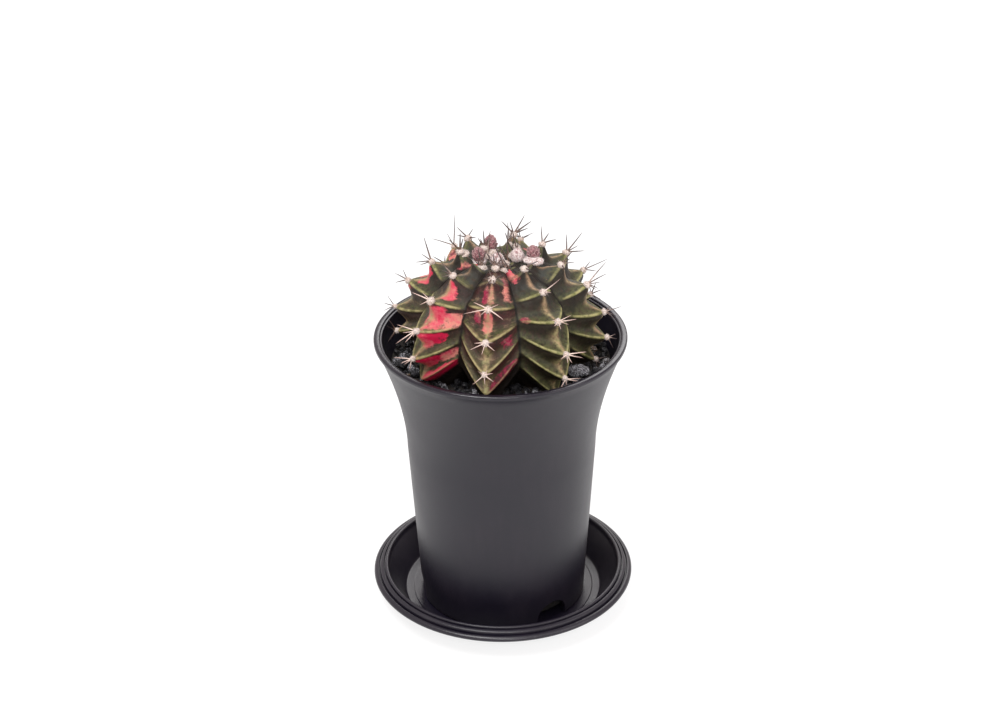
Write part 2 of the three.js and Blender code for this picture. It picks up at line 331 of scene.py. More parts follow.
def finishLook(shader, colour, relief, depth, strength=1.0, roughness=None):
    tree = colour.tree
    feed(tree, shader.inputs["Base Color"], colour)
    if roughness:
        feed(tree, shader.inputs["Roughness"], roughness)
    if relief:
        bump = wire(tree, "ShaderNodeBump", {"Height": relief, "Distance": depth, "Strength": strength})
        feed(tree, shader.inputs["Normal"], bump.outputs[0])


plasticLook = {
    "colour": (0.0066, 0.0054, 0.0118),
    "dustColour": (0.0158, 0.0122, 0.0198),
    "cloud": 22 * mm, "streak": 3.0 * mm, "streakStretch": 0.12,
    "grain": 0.35 * mm, "grainHeight": 0.035 * mm,
    "roughnessLow": 0.35, "roughnessHigh": 0.47,
    "shineAbove": 1.0, "shine": 0.42,         # the plastic is glossier above this height, as on a rim
}


def satinPlastic(name, look):
    material, tree, shader = newMaterial(name, **{"IOR": 1.55, "Specular IOR Level": 0.44})
    place = coordinates(tree)
    cloud = mottle(place, look["cloud"], 4.0)
    fine = mottle(place, look["grain"], 2.0, 0.6)
    rubbed = place.node("ShaderNodeMapping", {"Vector": place, "Scale": (1, 1, look["streakStretch"])})
    streaks = mottle(rubbed, look["streak"], 3.0)
    dust = between(cloud, 0.3, 0.8) * between(streaks, 0.2, 0.8, 0.4, 1.0)
    satin = between(cloud * 0.6 + fine * 0.4, 0.3, 0.7, look["roughnessLow"], look["roughnessHigh"])
    shine = between(heightOf(place), look["shineAbove"] - 0.5 * mm, look["shineAbove"], 1.0, look["shine"])
    finishLook(shader, mixColour(dust, look["colour"], look["dustColour"]), fine + streaks * 0.08,
               look["grainHeight"], roughness=satin * shine)
    return material


skinLook = {
    "shade": (0.014, 0.0085, 0.0065), "dark": (0.020, 0.0195, 0.0105), "olive": (0.054, 0.052, 0.0245),
    "grey": (0.044, 0.046, 0.041), "bronze": (0.056, 0.032, 0.025), "ridge": (0.34, 0.31, 0.14),
    "ridgeGreen": (0.13, 0.135, 0.045), "crease": (0.006, 0.005, 0.004), "tan": (0.36, 0.23, 0.14),
    "maroon": (0.085, 0.018, 0.022), "wine": (0.27, 0.014, 0.05), "dusky": (0.24, 0.085, 0.085),
    "salmon": (0.56, 0.215, 0.165), "pink": (0.56, 0.085, 0.115), "crimson": (0.48, 0.008, 0.048),
    "root": (0.010, 0.007, 0.0055),
    "broadSize": 9 * mm, "blotSize": 4.5 * mm, "patchySize": 3.0 * mm, "bronzeSize": 1.9 * mm,
    "streakSize": 1.5 * mm, "smallSize": 1.3 * mm, "fineSize": 0.45 * mm,
    "reliefDepth": 0.22 * mm, "reliefStrength": 0.85,
}


def makeSkin(look):
    material, tree, shader = newMaterial(
        "waxyCactusSkin", **{"IOR": 1.42, "Subsurface Weight": 0.04,
                             "Subsurface Radius": (0.0012, 0.0007, 0.0004),
                             "Subsurface Scale": 1.0, "Specular IOR Level": 0.22})

    def centred(value, size):
        return (value - 0.5) * size

    place = coordinates(tree)
    broad = mottle(place, look["broadSize"], 4.0, 0.6)
    patchy = mottle(place, look["patchySize"], 4.0, 0.62)
    small = mottle(place, look["smallSize"], 4.0, 0.65)
    fine = mottle(place, look["fineSize"], 3.0, 0.6)
    across, ridge, crest, brown = (read(tree, name) for name in ("across", "ridge", "crestLine", "brown"))
    blush, tone, past, youth = (read(tree, name) for name in ("blush", "tone", "past", "youth"))
    # streaks run along the ridges
    strip = combined(past * (9 * mm), across * (3.5 * mm), heightOf(place) * 0.6)
    streak = mottle(strip, look["streakSize"], 4.0, 0.65)
    flesh = mixColour(between(broad * 0.5 + small * 0.5, 0.38, 0.62), look["dark"], look["olive"])
    flesh = mixColour(youth * between(patchy, 0.3, 0.65, 0.35, 0.9), flesh, look["grey"])
    flesh = mixColour(between(mottle(place, look["bronzeSize"], 3.0, 0.6), 0.48, 0.66, 0.0, 0.6),
                      flesh, look["bronze"])
    flesh = mixColour(brown * between(patchy, 0.4, 0.58, 0.0, 0.85), flesh, look["bronze"])
    flesh = mixColour(brown * between(streak, 0.52, 0.68, 0.0, 0.42), flesh, look["tan"])
    flesh = mixColour(brown * between(streak, 0.42, 0.3, 0.0, 0.7), flesh, look["maroon"])
    # the flesh is darkest right under each ridge and pales towards the next one
    under = (between(past, 0.02, 0.1) * between(past, 0.22, 0.7, 1.0, 0.0)
             * between(patchy, 0.2, 0.7, 0.95, 0.6))
    flesh = mixColour(under, flesh, look["shade"])
    flesh = mixColour(brown * (under * between(small, 0.35, 0.6, 0.0, 0.6)), flesh, look["maroon"])
    flesh = mixColour(between(past, 0.66, 0.98, 0.0, 0.4) * between(small, 0.3, 0.6),
                      flesh, look["ridgeGreen"])
    # colour patches come over the green, with broken edges and darker blots
    patch = between(blush + (centred(patchy, 0.8) + centred(streak, 1.1)), 0.3, 0.62)
    hue = tone + (centred(patchy, 0.9) + (centred(small, 0.6) + centred(past, -0.3)))
    pinks = ramp(hue, [(0.0, look["maroon"]), (0.12, look["wine"]), (0.26, look["dusky"]),
                       (0.42, look["salmon"]),
                       (0.66, look["pink"]), (0.95, look["crimson"])])
    blot = between(mottle(place, look["blotSize"], 2.0), 0.6, 0.68) * between(small, 0.35, 0.6, 0.3, 0.9)
    flesh = mixColour(patch, flesh, mixColour(blot, pinks, look["maroon"]))
    # cross ridges are yellow-green cords, tanned where the rib is brown
    cord = between(ridge, 0.34, 0.96) * between(small, 0.25, 0.55, 0.5, 1.0)
    cord = cord * between(across, 0.84, 0.97, 1.0, 0.0) * between(youth, 0.55, 1.0, 1.0, 0.25)
    cordColour = mixColour(between(patchy, 0.32, 0.6), look["ridgeGreen"], look["ridge"])
    cordColour = mixColour(brown * 0.3, cordColour, look["tan"])
    flesh = mixColour(cord * (1.0 - patch * 0.45), flesh, cordColour)
    crestColour = mixColour(between(patchy, 0.35, 0.65), look["ridge"], look["tan"])
    crestColour = mixColour(youth, crestColour, look["tan"])
    flesh = mixColour(crest * between(small, 0.3, 0.62, 0.3, 0.95), flesh, crestColour)
    # furrows are dark, most of all near the crown
    flesh = mixColour(between(across, 0.6, 0.98, 0.0, 0.75) * between(youth, 0.4, 1.0), flesh, look["shade"])
    flesh = mixColour(between(across, 0.9, 1.0, 0.0, 0.9), flesh, look["crease"])
    speck = between(fine, 0.66, 0.76, 0.0, 0.35) * between(patchy, 0.4, 0.6)
    flesh = mixColour(speck, flesh, look["tan"])
    flesh = mixColour(read(tree, "buried"), flesh, look["root"])
    finishLook(shader, flesh, fine * 0.5 + (small + patchy), look["reliefDepth"], look["reliefStrength"],
               between(patchy, 0.3, 0.7, 0.4, 0.58))
    return material


spineLook = {
    "paleFoot": (0.74, 0.61, 0.53), "paleTip": (0.56, 0.38, 0.33),
    "brownFoot": (0.15, 0.085, 0.06), "brownTip": (0.05, 0.03, 0.027), "streak": 0.5 * mm,
}


def makeSpineMaterial(look):
    material, tree, shader = newMaterial("hornySpine", **{"Roughness": 0.42, "IOR": 1.5})
    dark, along = read(tree, "darkness"), read(tree, "along")
    streak = mottle(coordinates(tree), look["streak"], 2.0)
    pale = mixColour(between(along, 0.0, 0.9), look["paleFoot"], look["paleTip"])
    brown = mixColour(between(along, 0.0, 0.7), look["brownFoot"], look["brownTip"])
    mixed = dark + (streak - 0.5) * 0.5 + along * 0.25
    finishLook(shader, mixColour(between(mixed, 0.25, 0.85), pale, brown), None, 0)
    return material


woolLook = {
    "tuft": 0.55 * mm, "tuftDepth": 0.25 * mm,
    "cream": (0.70, 0.61, 0.56), "creamShade": (0.42, 0.31, 0.25),
    "pink": (0.76, 0.68, 0.66), "pinkShade": (0.36, 0.22, 0.21),
}


def makeWool(name, light, shade):
    material, tree, shader = newMaterial(
        name, **{"Roughness": 0.9, "Sheen Weight": 0.35, "Sheen Roughness": 0.4, "Subsurface Weight": 0.15,
                 "Subsurface Radius": (0.0012, 0.0010, 0.0008), "Subsurface Scale": 1.0})
    tuft = mottle(coordinates(tree), woolLook["tuft"], 3.0, 0.65)
    finishLook(shader, mixColour(between(tuft, 0.3, 0.62), shade, light), tuft, woolLook["tuftDepth"])
    return material


stoneLook = {
    "black": (0.002, 0.002, 0.003), "charcoal": (0.0085, 0.0085, 0.0115), "pore": (0.038, 0.035, 0.044),
    "grey": (0.05, 0.048, 0.056), "sparkle": (0.42, 0.41, 0.44), "golden": (0.12, 0.07, 0.028),
    "grain": (0.55, 0.55, 0.59),
    "bodySize": 2.5 * mm, "poreSize": 0.9 * mm, "gritSize": 0.4 * mm, "depth": 0.6 * mm,
}


def makeStoneMaterial(look):
    # tint runs from 0 for black stones to 1 for pale ones, and a few of the highest are golden
    material, tree, shader = newMaterial("lavaGravel", **{"IOR": 1.5, "Specular IOR Level": 0.5})
    place, tint = coordinates(tree), read(tree, "tint")
    pores = mottle(place, look["poreSize"], 4.0, 0.7)
    grit = mottle(place, look["gritSize"], 3.0, 0.7)
    stone = mixColour(between(mottle(place, look["bodySize"], 2.0), 0.35, 0.7),
                      look["black"], look["charcoal"])
    stone = mixColour(between(pores, 0.56, 0.68, 0.0, 0.6), stone, look["pore"])
    stone = mixColour(between(tint, 0.62, 0.86, 0.0, 0.6), stone, look["grey"])
    stone = mixColour(between(tint, 0.86, 0.875) * between(pores, 0.55, 0.62), stone, look["sparkle"])
    stone = mixColour(between(tint, 0.968, 0.975) * 0.85, stone, look["golden"])
    # light grains, most of all on the palest stones
    pale = between(tint, 0.72, 0.88, 0.12, 1.0)
    stone = mixColour(between(grit + pale * 0.06, 0.58, 0.66) * pale, stone, look["grain"])
    finishLook(shader, stone, pores + grit * 0.5, look["depth"],
               roughness=between(pores, 0.35, 0.65, 0.5, 0.22))
    return material


soilLook = {
    "dark": (0.004, 0.0035, 0.003), "brown": (0.03, 0.022, 0.016), "crumb": 1.2 * mm, "depth": 0.8 * mm,
}


def makeSoilMaterial(look):
    material, tree, shader = newMaterial("darkPottingMix", **{"Roughness": 0.95})
    crumbs = mottle(coordinates(tree), look["crumb"], 5.0, 0.7)
    finishLook(shader, mixColour(between(crumbs, 0.35, 0.7), look["dark"], look["brown"]),
               crumbs, look["depth"])
    return material


scaleLook = {
    "dark": (0.13, 0.045, 0.052), "rose": (0.33, 0.14, 0.155), "edge": (0.42, 0.27, 0.26),
    "blotch": 0.9 * mm, "depth": 0.12 * mm,
}


def makeScaleMaterial(look):
    material, tree, shader = newMaterial("budScale", **{"Roughness": 0.6, "Sheen Weight": 0.2})
    blotch = mottle(coordinates(tree), look["blotch"], 3.0, 0.6)
    colour = mixColour(between(blotch, 0.35, 0.65), look["dark"], look["rose"])
    colour = mixColour(between(read(tree, "along"), 0.55, 1.0, 0.0, 0.75), colour, look["edge"])
    finishLook(shader, colour, blotch, look["depth"])
    return material


potPlastic = satinPlastic("satinBlackPlastic", {**plasticLook, "shineAbove": potHigh.z - 0.5 * mm})
saucerPlastic = satinPlastic("satinSaucerPlastic",
                             {**plasticLook, "roughnessLow": 0.27, "roughnessHigh": 0.38})
skinMaterial = makeSkin(skinLook)
spineMaterial = makeSpineMaterial(spineLook)
woolMaterial = makeWool("creamWool", woolLook["cream"], woolLook["creamShade"])
budWoolMaterial = makeWool("pinkWool", woolLook["pink"], woolLook["pinkShade"])
stoneMaterial = makeStoneMaterial(stoneLook)
soilMaterial = makeSoilMaterial(soilLook)
scaleMaterial = makeScaleMaterial(scaleLook)
print("materials ready")


# ---- turned shapes: saucer and pot ----

def roundedOutline(corners, steps):
    # corners are (radius, height, fillet); each fillet becomes a short arc
    points = []
    for i, (r, z, fillet) in enumerate(corners):
        here = Vector((r, z))
        if fillet == 0 or i in (0, len(corners) - 1):
            points.append(here)
            continue
        before = Vector(corners[i - 1][:2]) - here
        after = Vector(corners[i + 1][:2]) - here
        start = here + before.normalized() * min(fillet, before.length * 0.49)
        end = here + after.normalized() * min(fillet, after.length * 0.49)
        for k in range(steps + 1):
            t = k / steps
            points.append((1 - t) ** 2 * start + 2 * t * (1 - t) * here + t * t * end)
    return points


def revolved(name, outline, sides, shake=None):
    # turns an outline of (radius, height) in metres round the axis; its ends on the axis close it
    vertices, faces, rings = [], [], []
    for i, (radius, height) in enumerate(outline):
        if radius < 1e-6 * mm:
            rings.append([len(vertices)] * sides)
            vertices.append((0, 0, height))
            continue
        rings.append(list(range(len(vertices), len(vertices) + sides)))
        for k in range(sides):
            place = around(2 * math.pi * k / sides, radius, height)
            vertices.append(shake(i, place) if shake else place)
    for lower, upper in zip(rings, rings[1:]):
        for k in range(sides):
            n = (k + 1) % sides
            corner = [lower[k], lower[n], upper[n], upper[k]]
            face = [v for j, v in enumerate(corner) if v not in corner[:j]]
            if len(face) > 2:
                faces.append(face)
    thing = newObject(name, vertices, faces)
    turnOut(thing)
    shadeSmooth(thing)
    return thing


def turned(name, corners, sides, steps=4):
    return revolved(name, [(p.x * mm, p.y * mm) for p in roundedOutline(corners, steps)], sides)


saucerShape = {
    "floorRadius": 36.2, "floorTop": 1.6, "wallTopRadius": 42.5, "lipRadius": 48.0, "sides": 176,
    "innerRidge": 12.6, "secondRidge": 11.6, "edge": 10.4, "groove": 0.7,
}


def makeSaucer(shape):
    # up the outside, over three rings with grooves between them, and down to the floor
    lip, wall, floor = shape["lipRadius"], shape["wallTopRadius"], shape["floorRadius"]
    edge, second, inner, top = shape["edge"], shape["secondRidge"], shape["innerRidge"], shape["floorTop"]
    firstGroove, secondGroove = edge - shape["groove"], second - shape["groove"]
    corners = [
        (0, 0, 0), (34.6, 0, 0.4), (36.8, 0.7, 0.8), (43.9, 7.8, 1.2), (47.1, 8.2, 0.5), (lip, 9.0, 0.6),
        (lip, edge - 0.7, 0.6), (lip - 0.7, edge, 0.5), (lip - 1.65, edge + 0.15, 0.25),
        (lip - 1.75, firstGroove, 0.1), (lip - 2.2, firstGroove, 0.1), (lip - 2.3, second - 0.25, 0.3),
        (lip - 3.0, second + 0.1, 0.3), (lip - 3.5, second + 0.2, 0.15),
        (lip - 3.6, secondGroove, 0.1), (lip - 3.95, secondGroove, 0.1), (lip - 4.05, inner - 0.25, 0.25),
        (lip - 4.7, inner, 0.4), (wall + 0.25, inner - 0.3, 0.4), (wall - 0.1, 10.9, 0.6),
        (floor + 0.55, 2.2, 0.8), (floor, top, 0.3), (33.5, top, 0.2), (33.2, top - 0.12, 0.1),
        (0, top - 0.12, 0),
    ]
    return turned("plasticSaucer", corners, shape["sides"])


potShape = {
    "rimRadius": 45.0, "neckRadius": 34.1, "flareHeight": 44.0, "flarePower": 1.75, "baseRadius": 30.1,
    "wall": 1.5, "sides": 176, "creaseAngle": 40,
    "archRadius": 6.5, "archLift": 1.5, "archAzimuth": 36.5, "archCount": 3, "archPlace": 32, "archDepth": 22,
}
potFoot = potLow.z / mm
rimTop = potHigh.z / mm


def potRadius(height, shape=potShape):
    neck = rimTop - shape["flareHeight"]
    if height < neck:
        share = (height - potFoot) / (neck - potFoot)
        return shape["baseRadius"] + (shape["neckRadius"] - shape["baseRadius"]) * share
    share = (height - neck) / shape["flareHeight"]
    return shape["neckRadius"] + (shape["rimRadius"] - shape["neckRadius"]) * share ** shape["flarePower"]


def makePot(shape):
    rim = shape["rimRadius"]
    wallOut = [(potRadius(z), z, 0) for z in np.linspace(potFoot + 1.2, rimTop - 2.6, 40)]
    wallIn = [(potRadius(z) - shape["wall"], z, 0) for z in np.linspace(rimTop - 4.2, potFoot + 4.6, 34)]
    corners = [
        (0, potFoot + 1.5, 0), (27.4, potFoot + 1.5, 0.5), (27.8, potFoot, 0.3),
        (shape["baseRadius"], potFoot, 0.5),
        *wallOut, (rim - 0.2, rimTop - 1.7, 0.3), (rim, rimTop - 1.2, 0.35), (rim, rimTop - 0.25, 0.55),
        (rim - 0.9, rimTop, 0.5), (rim - 2.15, rimTop - 0.1, 0.4), (rim - 2.3, rimTop - 0.75, 0.15),
        (rim - 2.95, rimTop - 0.8, 0.25), (rim - 3.1, rimTop - 2.2, 0.4), *wallIn,
        (potRadius(potFoot + 3.5) - shape["wall"] - 0.4, potFoot + 3.5, 0.3), (0, potFoot + 3.5, 0),
    ]
    pot = turned("flaredPot", corners, shape["sides"], 3)
    cutter, cutRadius = bmesh.new(), shape["archRadius"] * mm
    for i in range(shape["archCount"]):
        azimuth = math.radians(shape["archAzimuth"]) + 2 * math.pi * i / shape["archCount"]
        place = Matrix.Translation((0, -shape["archPlace"] * mm, (potFoot + shape["archLift"]) * mm))
        turn = Matrix.Rotation(azimuth, 4, "Z") @ place @ Matrix.Rotation(math.pi / 2, 4, "X")
        bmesh.ops.create_cone(cutter, cap_ends=True, segments=56, radius1=cutRadius, radius2=cutRadius,
                              depth=shape["archDepth"] * mm, matrix=turn)
    arches = addObject("archCutter", meshFrom(cutter, "archCutter"))
    cut = pot.modifiers.new("Arches", "BOOLEAN")
    cut.operation, cut.solver, cut.object = "DIFFERENCE", "EXACT", arches
    settle(pot)
    bpy.data.objects.remove(arches)
    shadeSmooth(pot)
    pot.data.set_sharp_from_angle(angle=math.radians(shape["creaseAngle"]))
    return pot


saucer = makeSaucer(saucerShape)
setMaterial(saucer, saucerPlastic)
pot = makePot(potShape)
setMaterial(pot, potPlastic)
print("saucer and pot turned")


# ---- the cactus body ----

cactusShape = {
    "centre": 111.0,            # height of the widest level, mm
    "ribs": 8,
    "firstRib": -8.5,           # azimuth of rib 0, degrees
    "halfRibColumns": 16,
    "rows": 350,
    "flankPower": 1.3,
    "crestWidth": 0.07,
    "tipFlankPower": 0.8,
    "tipRounding": 0.3,
    "ridgeHeight": 1.05,
    "ridgeWidth": 0.8,
    "swell": 0.55,
    "notchDepth": 2.5,
    "ribTurns": [0, 0, 0, -5.5, -6.5, -3.5, 0, 0],      # degrees each rib stands off its even place
    "ridgeRise": [0.36, 0.2, 0.05, 0.05, 0.1, 0.1, 0.1, 0.12],
    "youngest": [-0.6, 0.0, 0.7, 0.3, 0.0, -0.6, -0.05, -0.85],      # growth of each rib's last areole
    "knobs": [0.2, 0.5, 0.6, 1.0, 1.0, 0.9, 0.8, 0.3],               # how far its young end swells into knobs
    "knobWidth": 0.5,
    "chin": 0.75,
    "unevenness": 0.5,
    "seed": 3.0,
}
# outlines from the growing tip down to the root, radius and height in mm, one point for each step of growth
crestOutline = [(0, 23.4), (7.6, 26.9), (14.3, 28.3), (24.5, 23.5), (32.7, 15.6), (37.3, 5.0),
                (36.8, -4.6), (31.6, -13.2), (22.5, -19.5), (11.5, -24.0), (0, -26.0)]
furrowOutline = [(0, 23.4), (6.4, 24.7), (13.0, 23.3), (20.1, 19.4), (24.2, 14.0), (26.0, 8.4),
                 (26.9, 2.8), (26.2, -3.0), (20.8, -9.6), (12.5, -20.0), (0, -26.0)]
stepsAboveFirst = 2
# growth of each rib's first full areole, and its lowest row
ribs = [(0.34, 3), (0.0, 4), (0.7, 4), (0.3, 3), (0.5, 3), (0.6, 3), (-0.05, 4), (0.55, 3)]
ribPitch = 2 * math.pi / cactusShape["ribs"]


def ribAzimuth(rib):
    return math.radians(cactusShape["firstRib"] + cactusShape["ribTurns"][rib]) + rib * ribPitch


def furrowAzimuth(rib):
    # the furrow after this rib lies halfway to the next one
    after = (rib + 1) % len(ribs)
    return 0.5 * (ribAzimuth(rib) + ribAzimuth(after) + (2 * math.pi if after == 0 else 0))


def curvePoints(outline, growth):
    # Catmull-Rom through the outline, at an array of growth values
    knots = np.array(outline, float)
    t = np.clip(np.asarray(growth, float) + stepsAboveFirst, 0, len(knots) - 1)
    i = np.minimum(t.astype(int), len(knots) - 2)
    w = (t - i)[:, None]
    p0, p1 = knots[np.maximum(i - 1, 0)], knots[i]
    p2, p3 = knots[i + 1], knots[np.minimum(i + 2, len(knots) - 1)]
    v0, v1 = 0.5 * (p2 - p0), 0.5 * (p3 - p1)
    return ((2 * p1 - 2 * p2 + v0 + v1) * w ** 3 + (-3 * p1 + 3 * p2 - 2 * v0 - v1) * w ** 2 + v0 * w + p1)


# colour patches: rib, flank (-1 left, 1 right, 0 both), growth from, to, across from, to, strength, tone
# tone 0 is maroon, 0.5 salmon and 1 crimson; rows of growth count down from the crown
patches = [
    (7, 1, 1.62, 2.52, -0.4, 0.55, 1.0, 0.68), (7, 1, 1.72, 2.5, 0.4, 1.0, 1.0, 0.5),
    (7, 1, 2.6, 3.25, -0.4, 0.4, 1.0, 0.8), (7, 1, 2.62, 3.15, 0.28, 0.64, 1.0, 1.0),
    (7, 1, 3.6, 4.15, -0.3, 0.5, 0.95, 0.85), (7, 1, 3.6, 4.25, 0.4, 1.0, 0.8, 0.5),
    (7, 1, 4.35, 5.0, -0.3, 1.0, 0.95, 0.9), (7, -1, 1.62, 2.4, -0.3, 0.25, 0.85, 0.6),
    (7, 1, 0.68, 1.32, -0.3, 0.4, 1.0, 0.68), (6, 1, -0.9, 0.1, 0.35, 1.0, 0.9, 0.42),
    (6, 1, 1.0, 1.75, -0.3, 0.3, 1.0, 0.7), (6, -1, 1.4, 2.6, 0.2, 0.8, 0.8, 0.6),
    (6, 1, 1.98, 2.4, -0.4, 0.14, 0.8, 0.5),
    (0, -1, 0.55, 1.2, 0.12, 0.4, 0.9, 0.12), (0, 0, 0.45, 1.25, -0.16, 0.15, 0.6, 0.38),
    (0, 0, 1.4, 2.15, -0.16, 0.16, 1.0, 0.56), (0, -1, 1.42, 1.9, 0.24, 0.56, 0.8, 0.14),
    (0, 1, -0.4, 1.0, 0.5, 0.98, 0.6, 0.28), (0, 1, 3.95, 4.5, 0.12, 0.9, 1.1, 0.14),
    (0, 1, 2.45, 3.1, 0.3, 0.95, 0.55, 0.1), (1, -1, -1.4, 0.0, 0.3, 0.95, 1.25, 0.5),
    (1, -1, 1.7, 2.1, 0.55, 1.0, 0.55, 0.25), (5, 1, 0.8, 1.9, 0.1, 0.6, 0.8, 0.5),
    (5, -1, 2.2, 3.3, 0.1, 0.9, 0.85, 0.9), (4, 1, 2.6, 3.2, 0.3, 0.9, 0.7, 0.7),
    (4, -1, 0.9, 1.4, 0.3, 0.7, 0.6, 0.5), (3, 1, 3.3, 4.2, 0.1, 0.8, 0.6, 0.85),
]
# rows of a rib that are tanned and mottled: rib, growth from, to, strength
tanned = [(0, -0.5, 5.0, 1.0), (7, 0.4, 5.0, 0.4), (6, 2.2, 4.0, 0.4), (5, 1.5, 3.0, 0.6), (4, 3.0, 4.5, 0.5)]


def window(value, low, high, soft):
    rise = np.clip((value - low) / soft + 0.5, 0, 1)
    fall = np.clip((high - value) / soft + 0.5, 0, 1)
    return np.minimum(rise, fall) ** 2 * (3 - 2 * np.minimum(rise, fall))


def ridgePlace(growth, across, rise):
    # growth at which a ridge passes: ridges sag a little and climb on their way to the furrow
    return growth + (rise * across - 0.07 * np.sin(math.pi * across)) * np.clip((growth - 0.8) / 2, 0, 1)


def makeBody(shape):
    half, rows = shape["halfRibColumns"], shape["rows"]
    perRib = 2 * half
    columns = shape["ribs"] * perRib

    def spread(values):
        return np.repeat(values, columns)

    def ofRib(values):
        return np.array(values)[ribOf]

    def placed(points):
        at = lean * spread(points[:, 0])[:, None]
        at[:, 2] = spread(points[:, 1])
        return at

    steps = np.arange(columns)
    rib = steps // perRib
    offset = (steps % perRib) - half
    across = (np.abs(offset) / half) ** 1.35
    own = np.array([ribAzimuth(k) for k in range(shape["ribs"])])
    ahead = np.array([furrowAzimuth(k) - ribAzimuth(k) for k in range(shape["ribs"])])
    behind = np.roll(ahead, 1)
    azimuth = own[rib] + across * np.where(offset > 0, ahead[rib], -behind[rib])
    lastGrowth = len(crestOutline) - 1 - stepsAboveFirst
    above = np.linspace(-stepsAboveFirst, 5.4, rows - 22)
    growth = np.concatenate([above, np.linspace(5.4, lastGrowth, 23)[1:]])[1:-1]
    crest, furrow = curvePoints(crestOutline, growth), curvePoints(furrowOutline, growth)
    n = len(growth)
    g = spread(growth)
    s = np.tile(across, n)
    ribOf = np.tile(rib, n)
    flank = np.tile(np.sign(offset), n)
    az = np.tile(azimuth, n)
    lean = np.stack([np.sin(az), -np.cos(az), np.zeros_like(az)], 1)
    crestAt, furrowAt = placed(crest), placed(furrow)
    # behind its youngest areole a rib sinks away
    sunk = np.clip((ofRib(shape["youngest"]) - 0.3 - g) / 0.6, 0, 1) * 0.75 * (1 - s)
    crestAt += (furrowAt - crestAt) * sunk[:, None]
    bowed = ridgePlace(g, s, ofRib(shape["ridgeRise"]))
    past = (bowed - ofRib([phase for phase, _ in ribs])) % 1.0
    crestPitch, furrowPitch = (spread(np.linalg.norm(np.gradient(line, growth, axis=0), axis=1))
                               for line in (crest, furrow))
    pitch = crestPitch * (1 - s) + furrowPitch * s
    signed = np.where(past > 0.5, past - 1, past) * pitch
    along = np.clip((g + stepsAboveFirst) / (lastGrowth + stepsAboveFirst), 0, 1)
    relief = np.sin(math.pi * along) ** 0.6
    crestAt[:, 2] += shape["centre"]
    furrowAt[:, 2] += shape["centre"]
    poles = np.array([[0, 0, shape["centre"] + crestOutline[end][1]] for end in (0, -1)])
    crestAll = np.vstack([crestAt, poles]) * mm
    furrowAll = np.vstack([furrowAt, poles]) * mm

    faces = []
    for r in range(n - 1):
        a, b = r * columns, (r + 1) * columns
        for k in range(columns):
            m = (k + 1) % columns
            faces.append((a + k, b + k, b + m, a + m))
    top, bottom = n * columns, n * columns + 1
    for k in range(columns):
        m = (k + 1) % columns
        faces.append((top, k, m))
        faces.append((bottom, (n - 1) * columns + m, (n - 1) * columns + k))
    body = newObject("cactusBody", 0.5 * (crestAll + furrowAll), faces)

    wobble = np.array([noise.noise(Vector(p) * 90) for p in crestAll * 0.5 + furrowAll * 0.5])[:-2]
    blush, tone = np.zeros(len(g)), np.full(len(g), 0.5)
    for which, side, g0, g1, s0, s1, strength, hue in patches:
        mask = (ribOf == which) & ((flank == side) | (side == 0) | (flank == 0))
        offRow = np.abs(g + 0.1 * wobble - 0.5 * (g0 + g1)) / (0.5 * (g1 - g0))
        offAcross = np.abs(s + 0.06 * wobble - 0.5 * (s0 + s1)) / (0.5 * (s1 - s0))
        amount = np.exp(-0.8 * (offRow ** 3 + offAcross ** 3)) * strength * mask
        tone = np.where(amount > blush, hue, tone)
        blush = np.maximum(blush, amount)
    brown = np.zeros(len(g))
    for which, g0, g1, strength in tanned:
        brown = np.maximum(brown, window(g, g0, g1, 0.7) * strength * (ribOf == which))
    notched = np.sin(math.pi * past) ** 2
    crestLine = np.exp(-((s + 0.03 * wobble) / (0.03 + 0.1 * notched)) ** 2) * np.clip(g + 0.5, 0, 1)

    # past its last ridge a rib turns under, where it is dark
    lastRidge = ofRib(np.minimum([phase + lastRow + 1.2 for phase, lastRow in ribs], 5.15))
    attribute(body, "crestPoint", crestAll, "FLOAT_VECTOR")
    attribute(body, "furrowPoint", furrowAll, "FLOAT_VECTOR")
    # each with its value at the two poles
    for name, values, pole in (
            ("across", s, 0.0), ("past", past, 0.0), ("youth", np.clip((2.3 - g) / 2.0, 0, 1), 0.0),
            ("roundness", np.clip((1.5 - g) / 1.6, 0, 1), 1.0),
            ("knob", np.clip((1.3 - g) / 0.9, 0, 1) * ofRib(shape["knobs"]), 0.0),
            ("ridgeDistance", signed, 9.0), ("relief", relief, 0.0), ("blush", blush, 0.0),
            ("tone", tone, 0.5),
            ("brown", brown, 0.0), ("crestLine", crestLine, 0.0),
            ("buried", np.clip((bowed - lastRidge) / 0.2, 0, 1), 0.0)):
        attribute(body, name, np.concatenate([values, [pole, pole]]))
    return body, growth, columns, perRib


